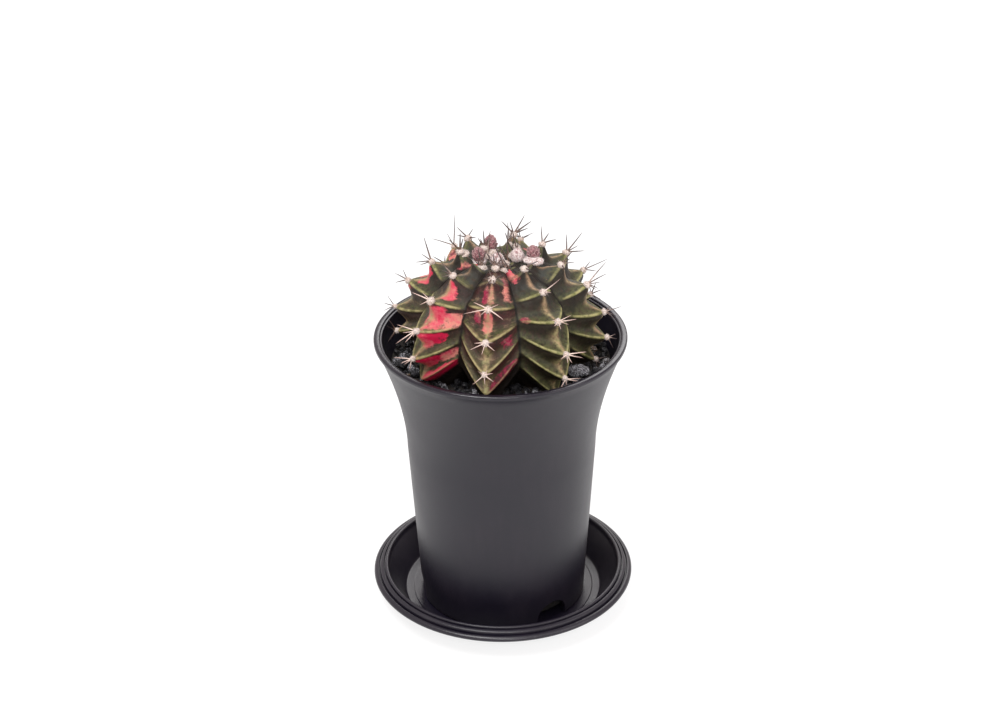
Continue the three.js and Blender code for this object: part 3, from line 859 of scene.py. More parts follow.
def ribbedSkinTree(inputs):
    tree, get = newTree("ribbedSkin", inputs)
    across, past, distance = field(tree, "across"), field(tree, "past"), field(tree, "ridgeDistance")
    crest, furrow = field(tree, "crestPoint", "FLOAT_VECTOR"), field(tree, "furrowPoint", "FLOAT_VECTOR")
    young = field(tree, "roundness")
    width = get["Crest Width"] + young * get["Tip Rounding"]
    rounded = (across.squared() + width.squared()).math("SQRT") - width
    reach = (width.squared() + 1.0).math("SQRT") - width
    power = get["Flank Power"] + young * (get["Tip Flank Power"] - get["Flank Power"])
    share = (1.0 - rounded / reach).math("MAXIMUM", 0.0) ** power
    knob = 1.0 - between(across, 0.0, get["Knob Width"])
    share = share + (knob - share) * field(tree, "knob")
    place = furrow.vector("ADD", crest.vector("SUBTRACT", furrow).scaled(share))
    outward = place.vector("SUBTRACT", get["Centre"]).vector("NORMALIZE")

    # a cord at each areole's level, steeper on its lower side
    sharpness = distance.math("GREATER_THAN", 0.0) * -0.45 + 1.2
    ridge = (distance / (get["Ridge Width"] * sharpness)).bell() * (1.0 - across ** 5.0)
    wave = (past ** 1.2 * (2 * math.pi)).math("COSINE") * 0.5 + 0.5
    nearCrest = (1.0 - across * 1.45).math("MAXIMUM", 0.0)
    notch = (1.0 - wave) * nearCrest * get["Notch Depth"]
    chin = ((past - 0.14) / 0.1).bell() * (across / 0.24).bell()
    lift = ridge * get["Ridge Height"] + wave * get["Swell"] - notch + chin * get["Chin"]
    # the outlines run through the areoles, so the crest gives back what the ridges add
    lift = lift - share * (get["Ridge Height"] + get["Swell"])
    shifted = place.vector("ADD", combined(get["Seed"], None, None))
    lumps = made(tree, "ShaderNodeTexNoise", {"Vector": shifted, "Scale": 150.0, "Detail": 2.0})
    lift = (lift + (lumps - 0.5) * get["Unevenness"]) * field(tree, "relief")
    moved = made(tree, "GeometryNodeSetPosition", {
        "Geometry": get["Geometry"], "Position": place.vector("ADD", outward.scaled(lift))})
    return finishTree(tree, stored(moved, "ridge", ridge), get["Skin"])


body, bodyGrowth, bodyColumns, columnsPerRib = makeBody(cactusShape)
skinInputs = {"Centre": (0.0, 0.0, cactusShape["centre"] * mm), "Skin": skinMaterial}
for label, key, unit in (
        ("Flank Power", "flankPower", 1), ("Tip Flank Power", "tipFlankPower", 1),
        ("Crest Width", "crestWidth", 1),
        ("Tip Rounding", "tipRounding", 1), ("Knob Width", "knobWidth", 1),
        ("Ridge Height", "ridgeHeight", mm),
        ("Ridge Width", "ridgeWidth", 1), ("Swell", "swell", mm), ("Notch Depth", "notchDepth", mm),
        ("Chin", "chin", mm), ("Unevenness", "unevenness", mm), ("Seed", "seed", 1)):
    skinInputs[label] = cactusShape[key] * unit
grow(body, ribbedSkinTree(skinInputs), skinInputs)
shadeSmooth(body)
dropAttributes(body, ("crestPoint", "furrowPoint", "ridgeDistance", "relief", "roundness", "knob"))
bodyPoints = np.array([v.co for v in body.data.vertices])
print("cactus body grown,", len(body.data.polygons), "faces")


# ---- areoles and spines ----

def areoleFrame(rib, growth):
    # where an areole sits on its crest, the way it faces, and the ways up the rib and sideways
    column = rib * columnsPerRib + columnsPerRib // 2
    row = int(np.argmin(np.abs(bodyGrowth - growth)))

    def at(r, c):
        return Vector(bodyPoints[r * bodyColumns + c % bodyColumns])

    centre = at(row, column)
    up = (at(max(row - 5, 0), column) - at(row + 5, column)).normalized()
    side = (at(row, column + 3) - at(row, column - 3)).normalized()
    facing = side.cross(up).normalized()
    outward = (centre - Vector((0, 0, cactusShape["centre"] * mm))).normalized()
    if facing.dot(outward) < 0:
        facing.negate()
    facing = (facing + 0.8 * outward).normalized()
    up = (up - facing * up.dot(facing)).normalized()
    side = up.cross(facing)
    return centre, facing, up, side


areoleShape = {
    "radius": 1.38, "youngRadius": 1.42, "height": 1.15, "sink": 0.2, "hairLength": 0.55, "hairWidth": 0.075,
    "hairsPerSquareMm": 10.0, "hairSpread": 0.85, "seed": 4,
    # growth of the last areole of a rib before the tip, where it stands off the even spacing
    "crownGrowth": {0: -0.6, 4: 0.0, 5: -0.6, 7: -0.85},
}
spineShape = {
    "radius": 0.235, "youngRadius": 0.34, "length": 6.4, "crownLength": 8.6, "bend": 0.07, "count": 6,
    "lean": 1.9, "crownLean": 0.55, "seed": 11, "rings": 7, "sides": 6,
}
# fans of the areoles that face the front, as (angle from straight up, length in mm), clockwise
frontFans = {
    (0, 0): [(-20, 5.2), (70, 4.0), (-85, 3.6), (-140, 4.0), (150, 3.2)],
    (0, 1): [(-60, 5.9), (-97, 8.9), (120, 6.9), (68, 4.3), (-128, 4.2), (165, 2.8)],
    (0, 2): [(-114, 6.3), (-88, 4.2), (-164, 4.6), (134, 4.6), (85, 3.0)],
    (0, 3): [(-133, 5.6), (130, 4.6), (180, 3.9), (-60, 2.8), (77, 3.5), (40, 2.3)],
    (7, 0): [(-43, 6.3), (-100, 3.9), (35, 2.6), (-70, 4.6)],
    (7, 1): [(-65, 7.4), (-40, 4.2), (-112, 4.2), (60, 2.4)],
    (7, 2): [(-67, 7.2), (-118, 8.6), (-139, 5.8), (-103, 4.8), (-155, 2.7)],
    (7, 3): [(-81, 6.8), (-107, 4.5), (-166, 4.3), (-128, 3.7), (60, 3.0)],
    (1, 0): [(59, 6.0), (80, 3.4), (120, 3.1), (-50, 2.3)],
    (1, 1): [(56, 7.7), (95, 3.0), (-70, 2.5), (132, 2.7)],
    (1, 2): [(60, 5.2), (85, 6.7), (102, 4.0), (-139, 3.0), (170, 3.3), (-75, 2.4)],
    (1, 3): [(80, 7.3), (107, 6.1), (153, 3.9), (180, 3.4), (-120, 3.2)],
    (1, 4): [(103, 4.5), (90, 5.7), (-145, 4.1), (178, 3.0)],
    (2, 0): [(39, 6.6), (80, 5.2), (60, 4.2), (150, 3.2)],
    (2, 1): [(37, 10.8), (60, 8.2), (110, 4.6), (130, 4.1), (85, 5.2)],
    (2, 2): [(78, 6.5), (130, 5.0), (42, 3.3), (115, 4.4)],
    (2, 3): [(97, 3.9), (156, 5.0), (70, 3.4)],
    (2, 4): [(76, 4.8), (140, 3.3), (178, 2.8)],
    (3, 1): [(4, 6.9), (43, 9.8), (88, 7.0), (65, 5.2)],
    (3, 2): [(67, 10.2), (96, 5.3), (42, 4.4)],
    (3, 0): [(-6, 6.8), (70, 5.6), (30, 4.8)],
    (4, 0): [(-11, 5.2), (34, 8.4), (55, 8.5), (70, 6.2), (-41, 7.0)],
    (5, 0): [(-45, 5.9), (32, 4.2), (-75, 4.4), (100, 3.6)],
    (5, 1): [(3, 12.0), (-70, 9.0), (-30, 5.5)],
    (6, 1): [(-19, 9.6), (-92, 6.0), (-50, 4.8), (-115, 4.6)],
    (6, 2): [(-100, 4.8), (-58, 5.4), (-20, 4.4)],
    (6, 3): [(-80, 4.4), (-34, 5.0), (-112, 4.6)],
    (0, -1): [(-37, 6.6), (-12, 5.4), (36, 5.2), (74, 5.4), (8, 4.0)],
    (7, -1): [(-4, 7.4), (12, 6.2), (-50, 3.8)],
    (4, -1): [(-2, 8.0), (16, 5.6), (-24, 4.6)],
    (5, -1): [(-6, 6.6), (26, 5.0), (-40, 4.6)],
}
# spines between the buds, as plan position in mm, then angle, length and darkness
crownSpines = [
    (1.6, -7.2, -48, 7.6, 1.0), (2.2, -6.4, -24, 9.8, 1.0), (1.9, -7.0, 45, 3.8, 0.9),
    (3.2, -2.5, -38, 4.5, 1.0),
    (2.9, 6.5, -2, 9.6, 1.0), (3.1, 3.2, -30, 6.5, 1.0), (3.4, 6.0, -18, 5.5, 0.8),
    (-4.8, 6.5, -3, 8.4, 1.0), (-4.3, 6.8, 4, 8.8, 0.55),
    (6.4, 8.5, -13, 10.6, 1.0), (6.0, 8.0, 9, 6.0, 0.9), (-5.5, 8.5, -25, 3.6, 0.7), (0.5, 3.0, -6, 6.4, 0.9),
    (-1.5, 1.5, -35, 5.2, 0.9), (5.2, 1.0, 28, 5.4, 0.9), (-6.8, -4.2, -20, 4.2, 0.7),
    (-6.4, -4.6, 38, 3.4, 0.5),
]
# wool pads between the buds, as plan position and radius in mm
crownWool = [(1.2, -6.6, 1.6), (4.4, 5.6, 1.7), (-2.6, 8.6, 1.9), (-13.0, 3.0, 2.3), (-6.2, -4.2, 1.9),
             (-4.4, 5.0, 1.7), (2.2, 0.6, 1.5), (5.4, 14.4, 1.9)]
frontRight = Vector((1, 0, 0))
frontUp = towardsCamera.cross(frontRight)


def frontDirection(angle, length, facing):
    # turns an angle seen from the front into a direction that stands clear of the skin
    turn = math.radians(angle)
    flat = frontRight * math.sin(turn) + frontUp * math.cos(turn)
    towards = 0.0
    while (flat + towards * towardsCamera).normalized().dot(facing) < 0.26 and towards < 1.1:
        towards += 0.05
    direction = flat + towards * towardsCamera
    return direction.normalized(), length * min(direction.length, 1.35)


def makeSpineShape(shape):
    # a tapering spine, one unit long and one wide
    rings, sides = shape["rings"], shape["sides"]
    vertices, faces, along = [], [], []
    for r in range(rings):
        t = r / rings
        radius = (1 - t) ** 0.5 * (1.0 if r else 1.2)
        for k in range(sides):
            a = 2 * math.pi * k / sides
            vertices.append((radius * math.cos(a), radius * math.sin(a), t))
            along.append(t)
    vertices.append((0, 0, 1))
    vertices.append((0, 0, -0.02))
    along += [1, 0]
    for r in range(rings - 1):
        for k in range(sides):
            m = (k + 1) % sides
            faces.append((r * sides + k, r * sides + m, (r + 1) * sides + m, (r + 1) * sides + k))
    tip, foot = rings * sides, rings * sides + 1
    for k in range(sides):
        m = (k + 1) % sides
        faces.append(((rings - 1) * sides + k, (rings - 1) * sides + m, tip))
        faces.append((m, k, foot))
    thing = newObject("spineShape", vertices, faces)
    shadeSmooth(thing)
    attribute(thing, "along", along)
    return thing


def makeHairShape():
    # a tapering hair of three sides, one unit long
    vertices, faces = [], []
    for t in (0.0, 0.55):
        for k in range(3):
            a = 2 * math.pi * k / 3
            vertices.append((math.cos(a) * (1 - 0.7 * t) * 0.5, math.sin(a) * (1 - 0.7 * t) * 0.5, t))
    vertices += [(0.1, 0, 1), (0, 0, -0.02)]
    for k in range(3):
        m = (k + 1) % 3
        faces += [(k, m, 3 + m, 3 + k), (3 + k, 3 + m, 6), (m, k, 7)]
    thing = newObject("hairShape", vertices, faces)
    shadeSmooth(thing)
    return thing


def mouldOf(thing):
    return thing.node("GeometryNodeObjectInfo", {0: thing}, "Geometry", transform_space="ORIGINAL")


def spineTree(inputs):
    tree, get = newTree("spines", inputs)
    spin = combined(None, None, randomFloat(get["Seed"], 0.0, 2 * math.pi))
    roll = spin.node("FunctionNodeEulerToRotation", {0: spin})
    aimed = aimedAlong(field(tree, "direction", "FLOAT_VECTOR"))
    rolled = aimed.node("FunctionNodeRotateRotation", {0: aimed, 1: roll}, rotation_space="LOCAL")
    thick = field(tree, "thickness")
    size = combined(thick, thick, field(tree, "length"))
    solid = realized(instances(get["Geometry"], mouldOf(get["Spine"]), rolled, size))
    # each spine bows to its own side
    bow = field(tree, "along").squared() * get["Bend"] * field(tree, "length")
    shift = field(tree, "bow", "FLOAT_VECTOR").scaled(bow)
    bent = made(tree, "GeometryNodeSetPosition", {"Geometry": solid, "Offset": shift})
    return finishTree(tree, bent, get["Horn"])


def woolTree(inputs):
    tree, get = newTree("wool", inputs)
    points = wire(tree, "GeometryNodeDistributePointsOnFaces",
                  {"Mesh": get["Geometry"], "Density": get["Hairs Per Area"], "Seed": get["Seed"]})
    stray = randomVector(get["Seed"], (-1, -1, -1), (1, 1, 1)).scaled(get["Spread"])
    aimed = aimedAlong(Flow(tree, points.outputs["Normal"]).vector("ADD", stray))
    size = combined(get["Width"], get["Width"], randomFloat(get["Seed"], 0.5, 1.1) * get["Length"])
    hairs = instances(Flow(tree, points.outputs[0]), mouldOf(get["Hair"]), aimed, size)
    both = wire(tree, "GeometryNodeJoinGeometry")
    for geometry in (hairs, get["Geometry"]):
        feed(tree, both.inputs[0], geometry)
    return finishTree(tree, Flow(tree, both.outputs[0]), get["Wool"])


def lumpySphere(shape, place, turn, radii, lumps, seed, level=2):
    # adds a lumpy, squashed ball to a bmesh
    made = bmesh.ops.create_icosphere(shape, subdivisions=level, radius=1.0)
    for vertex in made["verts"]:
        p = vertex.co.copy()
        swell = 1 + lumps * noise.noise(p * 1.9 + Vector((seed * 3.1, seed * 1.7, 0)))
        p = Vector((p.x * radii[0], p.y * radii[1], p.z * radii[2])) * swell
        vertex.co = place + turn @ p
    return made["verts"]


def crownPlace(x, y):
    # the point of the skin above a plan position near the tip, and the way it faces
    upper = bodyPoints[: 110 * bodyColumns]
    nearest = int(np.argmin((upper[:, 0] - x) ** 2 + (upper[:, 1] - y) ** 2))
    place = Vector(upper[nearest])
    return place, Vector((x, y, 20 * mm)).normalized()


def makeAreoles():
    rng = random.Random(spineShape["seed"])
    pads = bmesh.new()
    points, directions, lengths, widths, darkness, bows = [], [], [], [], [], []

    def addSpine(foot, direction, length, age, dark):
        points.append(foot - direction * 0.3 * mm)
        directions.append(direction)
        lengths.append(length * mm)
        width = spineShape["radius"] + (spineShape["youngRadius"] - spineShape["radius"]) * age
        widths.append(width * mm * rng.uniform(0.85, 1.15) * (0.8 + 0.2 * min(length / 6, 1.4)))
        darkness.append(min(1.0, max(0.0, dark)))
        sideways = direction.cross(Vector([rng.uniform(-1, 1) for _ in range(3)]))
        bows.append(sideways.normalized())

    for rib, (phase, lastRow) in enumerate(ribs):
        for row in range(-1, lastRow + 1):
            growth = phase + row if row >= 0 else areoleShape["crownGrowth"].get(rib, -9.0)
            if growth < -2:
                continue
            centre, facing, up, side = areoleFrame(rib, growth)
            young = growth < 0.1
            full = areoleShape["youngRadius"] if young else areoleShape["radius"]
            radius = full * mm * rng.uniform(0.9, 1.1) * (1 - 0.28 * min(max((growth - 1.6) / 1.4, 0), 1))
            turn = Matrix((side, up, facing)).transposed()
            lumpySphere(pads, centre + facing * areoleShape["sink"] * mm, turn,
                        (radius, radius, areoleShape["height"] * mm * rng.uniform(0.85, 1.1)),
                        0.35, rib * 7 + row)
            foot = centre + facing * (areoleShape["height"] * 0.55) * mm
            fan = frontFans.get((rib, row))
            found = []
            if fan:
                for angle, length in fan:
                    found.append(frontDirection(angle + rng.uniform(-2, 2), length, facing))
            else:
                count = 3 if young else spineShape["count"]
                lean = spineShape["crownLean"] if young else spineShape["lean"]
                start = rng.uniform(0, 360)
                for k in range(count):
                    a = math.radians(start + 360 * k / count + rng.uniform(-14, 14))
                    aim = facing + up * lean * math.cos(a) + side * lean * math.sin(a)
                    longest = spineShape["crownLength"] if young else spineShape["length"]
                    found.append((aim.normalized(), longest * rng.uniform(0.6, 1.1)))
            age = min(max((1.6 - growth) / 1.5, 0.0), 1.0)
            behind = min(max((centre.y / mm + 20) / 19, 0.0), 1.0)
            for direction, length in found:
                dark = max(0.1 + 0.75 * age, 0.85 * behind) + rng.uniform(-0.15, 0.15)
                addSpine(foot, direction, length, age, dark)
    for x, y, angle, length, dark in crownSpines:
        foot, facing = crownPlace(x * mm, y * mm)
        addSpine(foot, frontDirection(angle, length, facing)[0], length, 1.0, dark)
    for x, y, radius in crownWool:
        foot, facing = crownPlace(x * mm, y * mm)
        lumpySphere(pads, foot, Matrix.Identity(3), (radius * mm, radius * mm, 1.3 * mm), 0.35, x + y)
    wool = addObject("areoleWool", meshFrom(pads, "areoleWool"))
    spines = newObject("cactusSpines", points, [])
    attribute(spines, "direction", directions, "FLOAT_VECTOR")
    attribute(spines, "bow", bows, "FLOAT_VECTOR")
    attribute(spines, "length", lengths)
    attribute(spines, "thickness", widths)
    attribute(spines, "darkness", darkness)
    return wool, spines


spineMould, hairMould = makeSpineShape(spineShape), makeHairShape()
areoleWool, cactusSpines = makeAreoles()
spineInputs = {"Spine": spineMould, "Bend": spineShape["bend"], "Seed": spineShape["seed"],
               "Horn": spineMaterial}
grow(cactusSpines, spineTree(spineInputs), spineInputs)
dropAttributes(cactusSpines, ("direction", "bow", "length", "thickness"))
woolInputs = {"Hair": hairMould, "Hairs Per Area": areoleShape["hairsPerSquareMm"] * 1e6,
              "Length": areoleShape["hairLength"] * mm, "Width": areoleShape["hairWidth"] * mm,
              "Spread": areoleShape["hairSpread"], "Seed": areoleShape["seed"], "Wool": woolMaterial}
woolGrower = woolTree(woolInputs)
grow(areoleWool, woolGrower, woolInputs)
shadeSmooth(areoleWool)
print("areoles and spines grown,", len(areoleWool.data.polygons), len(cactusSpines.data.polygons), "faces")


# ---- flower buds ----

budShape = {
    "scaleLength": 1.9, "scaleWidth": 2.1, "rows": 6, "perRow": 6, "rise": 1.6, "swell": 1.2, "lean": 9,
    "woolLength": 0.7, "hairsPerSquareMm": 6.5, "seed": 9,
    "forward": {"flower_bud_right": (0, -1.4, 0.75)},       # how far a bud stands from its solid, mm
    "cup": {"flower_bud_right": (0, -2.0, -1.7)},           # this one sits in a wide cup of wool
}


def addScale(shape, along, place, outward, up, length, width):
    # a small cupped scale that lies against the bud, with its tip lifted
    side = up.cross(outward).normalized()
    rows, columns, grid = 4, 4, []
    for i in range(rows + 1):
        t = i / rows
        half = width * 0.5 * math.sin(math.pi * min(0.18 + 0.82 * t, 0.985)) ** 0.7
        line = []
        for j in range(columns + 1):
            s = 2 * j / columns - 1
            p = (place + up * length * t + side * half * s
                 + outward * (0.16 * mm + length * (0.1 * t * t - 0.12 * t) - 0.35 * half * s * s))
            vertex = shape.verts.new(p)
            vertex[along] = max(t ** 2, abs(s) ** 3)
            line.append(vertex)
        grid.append(line)
    backs = []
    for line in grid:
        row = []
        for vertex in line:
            back = shape.verts.new(vertex.co - outward * 0.14 * mm)
            back[along] = vertex[along]
            row.append(back)
        backs.append(row)
    for i in range(rows):
        for j in range(columns):
            shape.faces.new((grid[i][j], grid[i][j + 1], grid[i + 1][j + 1], grid[i + 1][j]))
            shape.faces.new((backs[i][j], backs[i + 1][j], backs[i + 1][j + 1], backs[i][j + 1]))
    rim = ([(i, 0) for i in range(rows + 1)] + [(rows, j) for j in range(1, columns + 1)]
           + [(i, columns) for i in range(rows - 1, -1, -1)] + [(0, j) for j in range(columns - 1, 0, -1)])
    for (i, j), (k, m) in zip(rim, rim[1:] + rim[:1]):
        shape.faces.new((grid[i][j], grid[k][m], backs[k][m], backs[i][j]))


def makeBud(node, name, woolly, seed):
    low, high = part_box(node)
    middle, half = (low + high) / 2 + Vector((0, 0, budShape["rise"] * mm)), (high - low) / 2
    middle += Vector(budShape["forward"].get(node, (0, 0, 0))) * mm
    lean = Vector((middle.x, middle.y, 0)) * budShape["lean"]
    axis = (Vector((0, 0, 1)) + lean).normalized()
    rng = random.Random(seed)
    radius, reach = max(half.x, half.y) * budShape["swell"], half.z * budShape["swell"]
    shape = bmesh.new()
    along = shape.verts.layers.float.new("along")
    turn = Vector((0, 0, 1)).rotation_difference(axis).to_matrix()
    lumpySphere(shape, middle, turn, (radius * 0.86, radius * 0.86, reach * 0.95), 0.1, seed)
    rows = budShape["rows"]
    for row in range(3 if woolly else 0, rows):
        t = row / (rows - 1)
        polar = math.radians(118 - 100 * t)
        perRow = max(3, round(budShape["perRow"] * math.sin(polar) ** 0.7))
        for k in range(perRow):
            a = 2 * math.pi * (k + 0.5 * (row % 2)) / perRow + rng.uniform(-0.12, 0.12)
            local = Vector((math.cos(a) * math.sin(polar), math.sin(a) * math.sin(polar), math.cos(polar)))
            place = middle + turn @ Vector(
                (local.x * radius * 0.84, local.y * radius * 0.84, local.z * reach * 0.93))
            outward = (turn @ Vector((local.x, local.y, local.z * 0.8))).normalized()
            rise = (axis - outward * axis.dot(outward)).normalized()
            grownBy = (0.8 if woolly else 1.0) * rng.uniform(0.85, 1.1) * (1 - 0.35 * t)
            addScale(shape, along, place, outward, rise, budShape["scaleLength"] * mm * grownBy,
                     budShape["scaleWidth"] * mm * grownBy)
    for vertex in shape.verts:
        vertex[along] = max(vertex[along], 0.8) if woolly else vertex[along]
    bmesh.ops.recalc_face_normals(shape, faces=shape.faces)
    bud = addObject(name, meshFrom(shape, name))
    setMaterial(bud, scaleMaterial)
    shadeSmooth(bud)
    return bud, middle, turn, radius, reach


buds, woolPads = [], bmesh.new()
for index, (node, name, woolly) in enumerate((
        ("flower_bud_left", "leftBud", False), ("flower_bud_back", "backBud", False),
        ("flower_bud_right", "rightBud", False), ("woolly_bud_front", "frontWoollyBud", True),
        ("woolly_bud_back", "backWoollyBud", True))):
    bud, middle, turn, radius, reach = makeBud(node, name, woolly, index + 2)
    buds.append((bud, node))
    if woolly:
        lumpySphere(woolPads, middle, turn, (radius * 0.97, radius * 0.97, reach * 1.0), 0.16, index + 5, 3)
    else:
        lumpySphere(woolPads, middle - (turn @ Vector((0, 0, reach * 0.85))), turn,
                    (radius * 1.1, radius * 1.1, 0.8 * mm), 0.3, index + 5, 2)
    if node in budShape["cup"]:
        lumpySphere(woolPads, middle + Vector(budShape["cup"][node]) * mm, turn,
                    (radius * 1.35, radius * 1.1, 1.3 * mm), 0.25, 31, 3)
budWool = addObject("budWool", meshFrom(woolPads, "budWool"))
grow(budWool, woolGrower, {
    **woolInputs, "Wool": budWoolMaterial, "Length": budShape["woolLength"] * mm,
    "Hairs Per Area": budShape["hairsPerSquareMm"] * 1e6, "Seed": budShape["seed"]})
shadeSmooth(budWool)
print("buds grown,", len(budWool.data.polygons), "faces")


# ---- soil and gravel ----

gravelShape = {
    "soilSides": 144, "soilRings": 26, "soilLevels": 14, "moulds": 5,
    "edge": 1.4, "bedSides": 120, "bedRings": 5,
    "cuts": 11, "creaseAngle": 24, "density": 9e5,
}
# the two beds of small stones: height over the soil, gap round the plant, spacing, smallest, largest, in mm
gravelBeds = {
    "lowerGravel": {"lift": 0.3, "gap": 0.2, "spacing": 2.1, "smallest": 1.0, "largest": 1.75, "seed": 3},
    "upperGravel": {"lift": 1.5, "gap": 1.0, "spacing": 3.5, "smallest": 0.8, "largest": 2.6, "seed": 8},
}
soilLevel = soilHigh.z - 0.8 * mm
wallInside = (potRadius(soilLevel / mm) - potShape["wall"]) * mm


def makeSoil(shape):
    rings, bottom, levels = shape["soilRings"], soilLow.z, shape["soilLevels"]
    outline = [(0.0, bottom)] + [((potRadius(z) - potShape["wall"] - 0.25) * mm, z * mm)
                                 for z in np.linspace(bottom / mm, soilLevel / mm, levels)]
    outline += [(wallInside * (1 - k / rings), soilLevel) for k in range(1, rings)] + [(0.0, soilLevel)]

    def shake(i, p):
        # only the open top is crumbly
        if i > levels:
            p.z += 0.9 * mm * noise.noise(p * 260) + 0.5 * mm * noise.noise(p * 900)
        return p

    soil = revolved("pottingSoil", outline, shape["soilSides"], shake)
    setMaterial(soil, soilMaterial)
    return soil


def bodyRadiusAt(azimuth, height):
    # how far the plant reaches from the axis at a height, in one direction
    flat = np.hypot(bodyPoints[:, 0], bodyPoints[:, 1])
    angle = np.arctan2(bodyPoints[:, 0], -bodyPoints[:, 1])
    off = np.abs((angle - azimuth + math.pi) % (2 * math.pi) - math.pi)
    near = (off < math.radians(1.6)) & (np.abs(bodyPoints[:, 2] - height) < 0.9 * mm)
    return float(flat[near].max()) if near.any() else 28 * mm


def gravelBed(name, level, gap):
    sides, rings, vertices, faces = gravelShape["bedSides"], gravelShape["bedRings"], [], []
    for k in range(sides):
        azimuth = 2 * math.pi * k / sides
        inner = bodyRadiusAt(azimuth, level) + gap
        outer = max(wallInside - gravelShape["edge"] * mm, inner + 0.3 * mm)
        for j in range(rings):
            vertices.append(around(azimuth, inner + (outer - inner) * j / (rings - 1), level))
    for k in range(sides):
        m = (k + 1) % sides
        for j in range(rings - 1):
            faces.append((k * rings + j, k * rings + j + 1, m * rings + j + 1, m * rings + j))
    return newObject(name, vertices, faces)


def angularStone(shape, place, radii, seed, level):
    # cuts a ball by random planes, which leaves flat broken faces
    rng = random.Random(seed)
    planes = []
    for _ in range(gravelShape["cuts"]):
        n = Vector((rng.gauss(0, 1), rng.gauss(0, 1), rng.gauss(0, 1))).normalized()
        planes.append((n, rng.uniform(0.62, 0.92)))
    made = bmesh.ops.create_icosphere(shape, subdivisions=level, radius=1.0)
    for vertex in made["verts"]:
        p = vertex.co.normalized()
        reach = min([1.0] + [d / max(p.dot(n), 1e-3) for n, d in planes if p.dot(n) > 0.05])
        rough = 0.05 * noise.noise(p * 7) if level > 2 else 0
        reach *= 1 + 0.09 * noise.noise(p * 2.7 + Vector((seed, 0, 0))) + rough
        vertex.co = place + Vector((p.x * radii[0], p.y * radii[1], p.z * radii[2])) * reach
    return made["verts"]


def makeMoulds(count):
    collection = bpy.data.collections.new("stoneMoulds")
    bpy.context.scene.collection.children.link(collection)
    for k in range(count):
        shape = bmesh.new()
        angularStone(shape, Vector((0, 0, 0)), (1.0, 0.85, 0.7), 20 + k, 1)
        collection.objects.link(bpy.data.objects.new("stoneMould" + str(k), meshFrom(shape, "stoneMould")))
    return collection


def gravelTree(inputs):
    tree, get = newTree("gravel", inputs)
    points = made(tree, "GeometryNodeDistributePointsOnFaces",
                  {"Mesh": get["Geometry"], "Distance Min": get["Spacing"],
                   "Density Max": gravelShape["density"],
                   "Seed": get["Seed"]}, distribute_method="POISSON")
    spin = randomVector(get["Seed"], (0, 0, 0), (6.28, 6.28, 6.28))
    shapes = made(tree, "GeometryNodeCollectionInfo",
                  {0: get["Stones"], "Separate Children": True, "Reset Children": True})
    turn = spin.node("FunctionNodeEulerToRotation", {0: spin})
    tinted = stored(points, "tint", randomFloat(get["Seed"], 0.0, 1.0))
    size = randomFloat(get["Seed"], get["Smallest"], get["Largest"])
    placed = instances(tinted, shapes, turn, size, **{"Pick Instance": True})
    return finishTree(tree, placed, get["Rock"])


soil = makeSoil(gravelShape)
stoneMoulds = makeMoulds(gravelShape["moulds"])
smallStones, stoneGrower = [], None
for name, bedShape in gravelBeds.items():
    bed = gravelBed(name, soilLevel + bedShape["lift"] * mm, bedShape["gap"] * mm)
    bedInputs = {"Stones": stoneMoulds, "Spacing": bedShape["spacing"] * mm,
                 "Smallest": bedShape["smallest"] * mm,
                 "Largest": bedShape["largest"] * mm, "Seed": bedShape["seed"], "Rock": stoneMaterial}
    stoneGrower = stoneGrower or gravelTree(bedInputs)
    grow(bed, stoneGrower, bedInputs)
    shadeSmooth(bed, False)
    smallStones.append(bed)

largeStones = bmesh.new()
tintLayer = largeStones.verts.layers.float.new("tint")
stoneNodes = sorted(name for name in frame["nodes"] if name.startswith("gravel_stone"))
for index, node in enumerate(stoneNodes):
    low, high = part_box(node)
    size = (high - low) / 2
    # the first is a wide grey one that lies across the others
    shift, grown = (Vector((-2.4, 2.8, 1.5)), 1.42) if index == 0 else (Vector((0, 0, 0.4)), 1.1)
    made = angularStone(largeStones, (low + high) / 2 + shift * mm,
                        (size.x * grown, size.y * grown * 0.8, size.z * 1.3), 40 + index, 3)
    for vertex in made:
        vertex[tintLayer] = 0.88 if index == 0 else 0.25 + 0.08 * (index % 4)
largeGravel = addObject("largeGravel", meshFrom(largeStones, "largeGravel"))
setMaterial(largeGravel, stoneMaterial)
shadeSmooth(largeGravel)
largeGravel.data.set_sharp_from_angle(angle=math.radians(gravelShape["creaseAngle"]))
print("soil and gravel laid,", sum(len(bed.data.polygons) for bed in smallStones), "faces")

for spare in [spineMould, hairMould, *stoneMoulds.objects]:
    bpy.data.objects.remove(spare)
bpy.data.collections.remove(stoneMoulds)


# ---- every piece rides on the one body ----

spineNodes = sorted(name for name in frame["nodes"] if name.startswith("spines_"))
for piece, slot, nodes in (
        (saucer, "black_plastic", ["saucer"]), (pot, "black_plastic", ["pot"]),
        (soil, "soil", ["potting_soil"]),
        *[(bed, "gravel", []) for bed in smallStones], (largeGravel, "gravel", stoneNodes),
        (body, "cactus_skin", ["cactus_body"]), (areoleWool, "bud_wool", []),
        (cactusSpines, "spines", spineNodes),
        (budWool, "bud_wool", []), *[(bud, "bud_scales", [node]) for bud, node in buds]):
    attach(piece, "root")
    if nodes:
        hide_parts(*nodes)


# ---- stage, light and camera ----

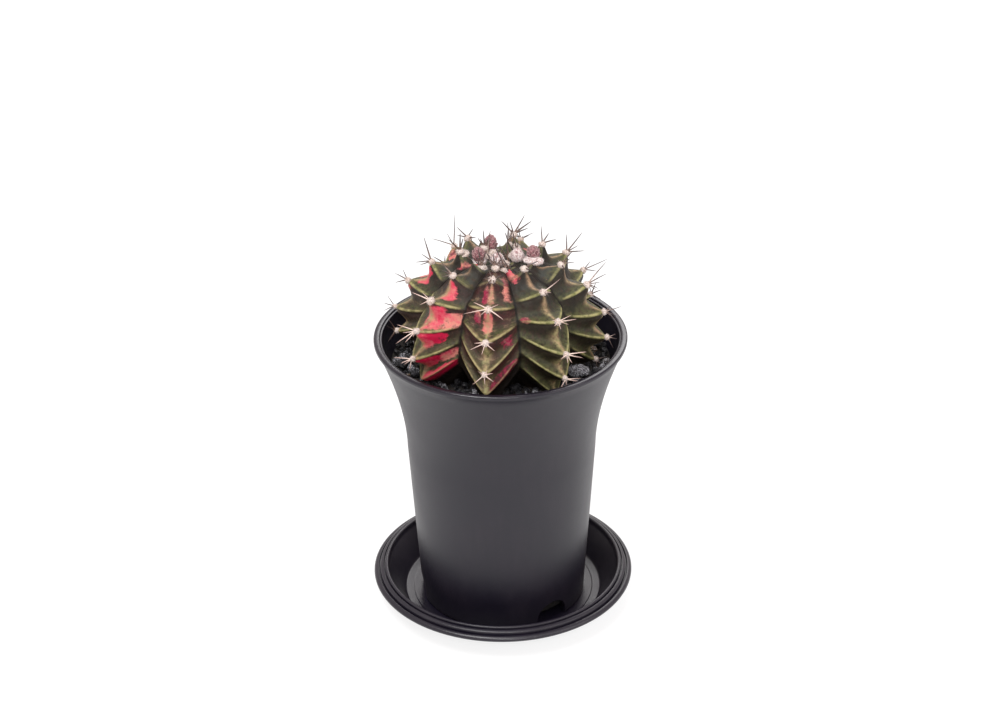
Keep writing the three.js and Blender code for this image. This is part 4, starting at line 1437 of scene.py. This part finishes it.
studio = {
    "floorSize": 4, "floorColour": (0.24, 0.24, 0.24), "floorGlow": 0.82,
    "skyStrength": 0.8, "skyColour": (1.0, 0.915, 0.905), "lit": (0, 0, 0.1),
    "keyPower": 11.0, "keySize": 0.6, "keyPlace": (-0.3, -0.45, 1.25),
    "fillPower": 3.0, "fillSize": 0.8, "fillPlace": (0.95, -0.5, 0.8),
    "rimPower": 3.2, "rimSize": 0.2, "rimPlace": (0.12, -1.0, 0.85),
    "backPower": 4.0, "backSize": 0.7, "backPlace": (0.2, 1.0, 0.9),
}


floorMaterial = newMaterial("paleFloor", **{
    "Base Color": studio["floorColour"], "Roughness": 0.9, "Specular IOR Level": 0.1,
    "Emission Color": (1, 1, 1), "Emission Strength": studio["floorGlow"]})[0]
edge = studio["floorSize"]
floor = newObject("paleFloor", [(-edge, -edge, 0), (edge, -edge, 0), (edge, edge, 0), (-edge, edge, 0)],
                  [(0, 1, 2, 3)])
setMaterial(floor, floorMaterial)


def makeLight(name, place, power, size):
    light = bpy.data.lights.new(name, "AREA")
    light.energy, light.size, light.shape = power, size, "DISK"
    lamp = addObject(name, light)
    lamp.location = place
    lamp.rotation_euler = (Vector(place) - Vector(studio["lit"])).to_track_quat("Z", "Y").to_euler()


for part in ("key", "fill", "rim", "back"):
    makeLight(part + "Light", studio[part + "Place"], studio[part + "Power"], studio[part + "Size"])

world = bpy.data.worlds.new("whiteStudio")
world.use_nodes = True
worldTree = world.node_tree
worldTree.nodes.clear()
sky = wire(worldTree, "ShaderNodeBackground",
           {"Color": studio["skyColour"], "Strength": studio["skyStrength"]})
wire(worldTree, "ShaderNodeOutputWorld", {"Surface": sky.outputs[0]})
bpy.context.scene.world = world
bpy.context.scene.view_settings.view_transform = "Standard"

lens = bpy.data.cameras.new("studioCamera")
lens.lens, lens.sensor_width, lens.clip_start = view["lens"], 36.0, 0.01
camera = addObject("studioCamera", lens)
camera.matrix_world = (Matrix.Translation(Vector(view["aim"]) + towardsCamera * view["distance"])
                       @ Matrix.Rotation(math.pi / 2 - tilt, 4, "X")
                       @ Matrix.Rotation(math.radians(view["roll"]), 4, "Z"))
bpy.context.scene.camera = camera
print("stage, light and camera set")
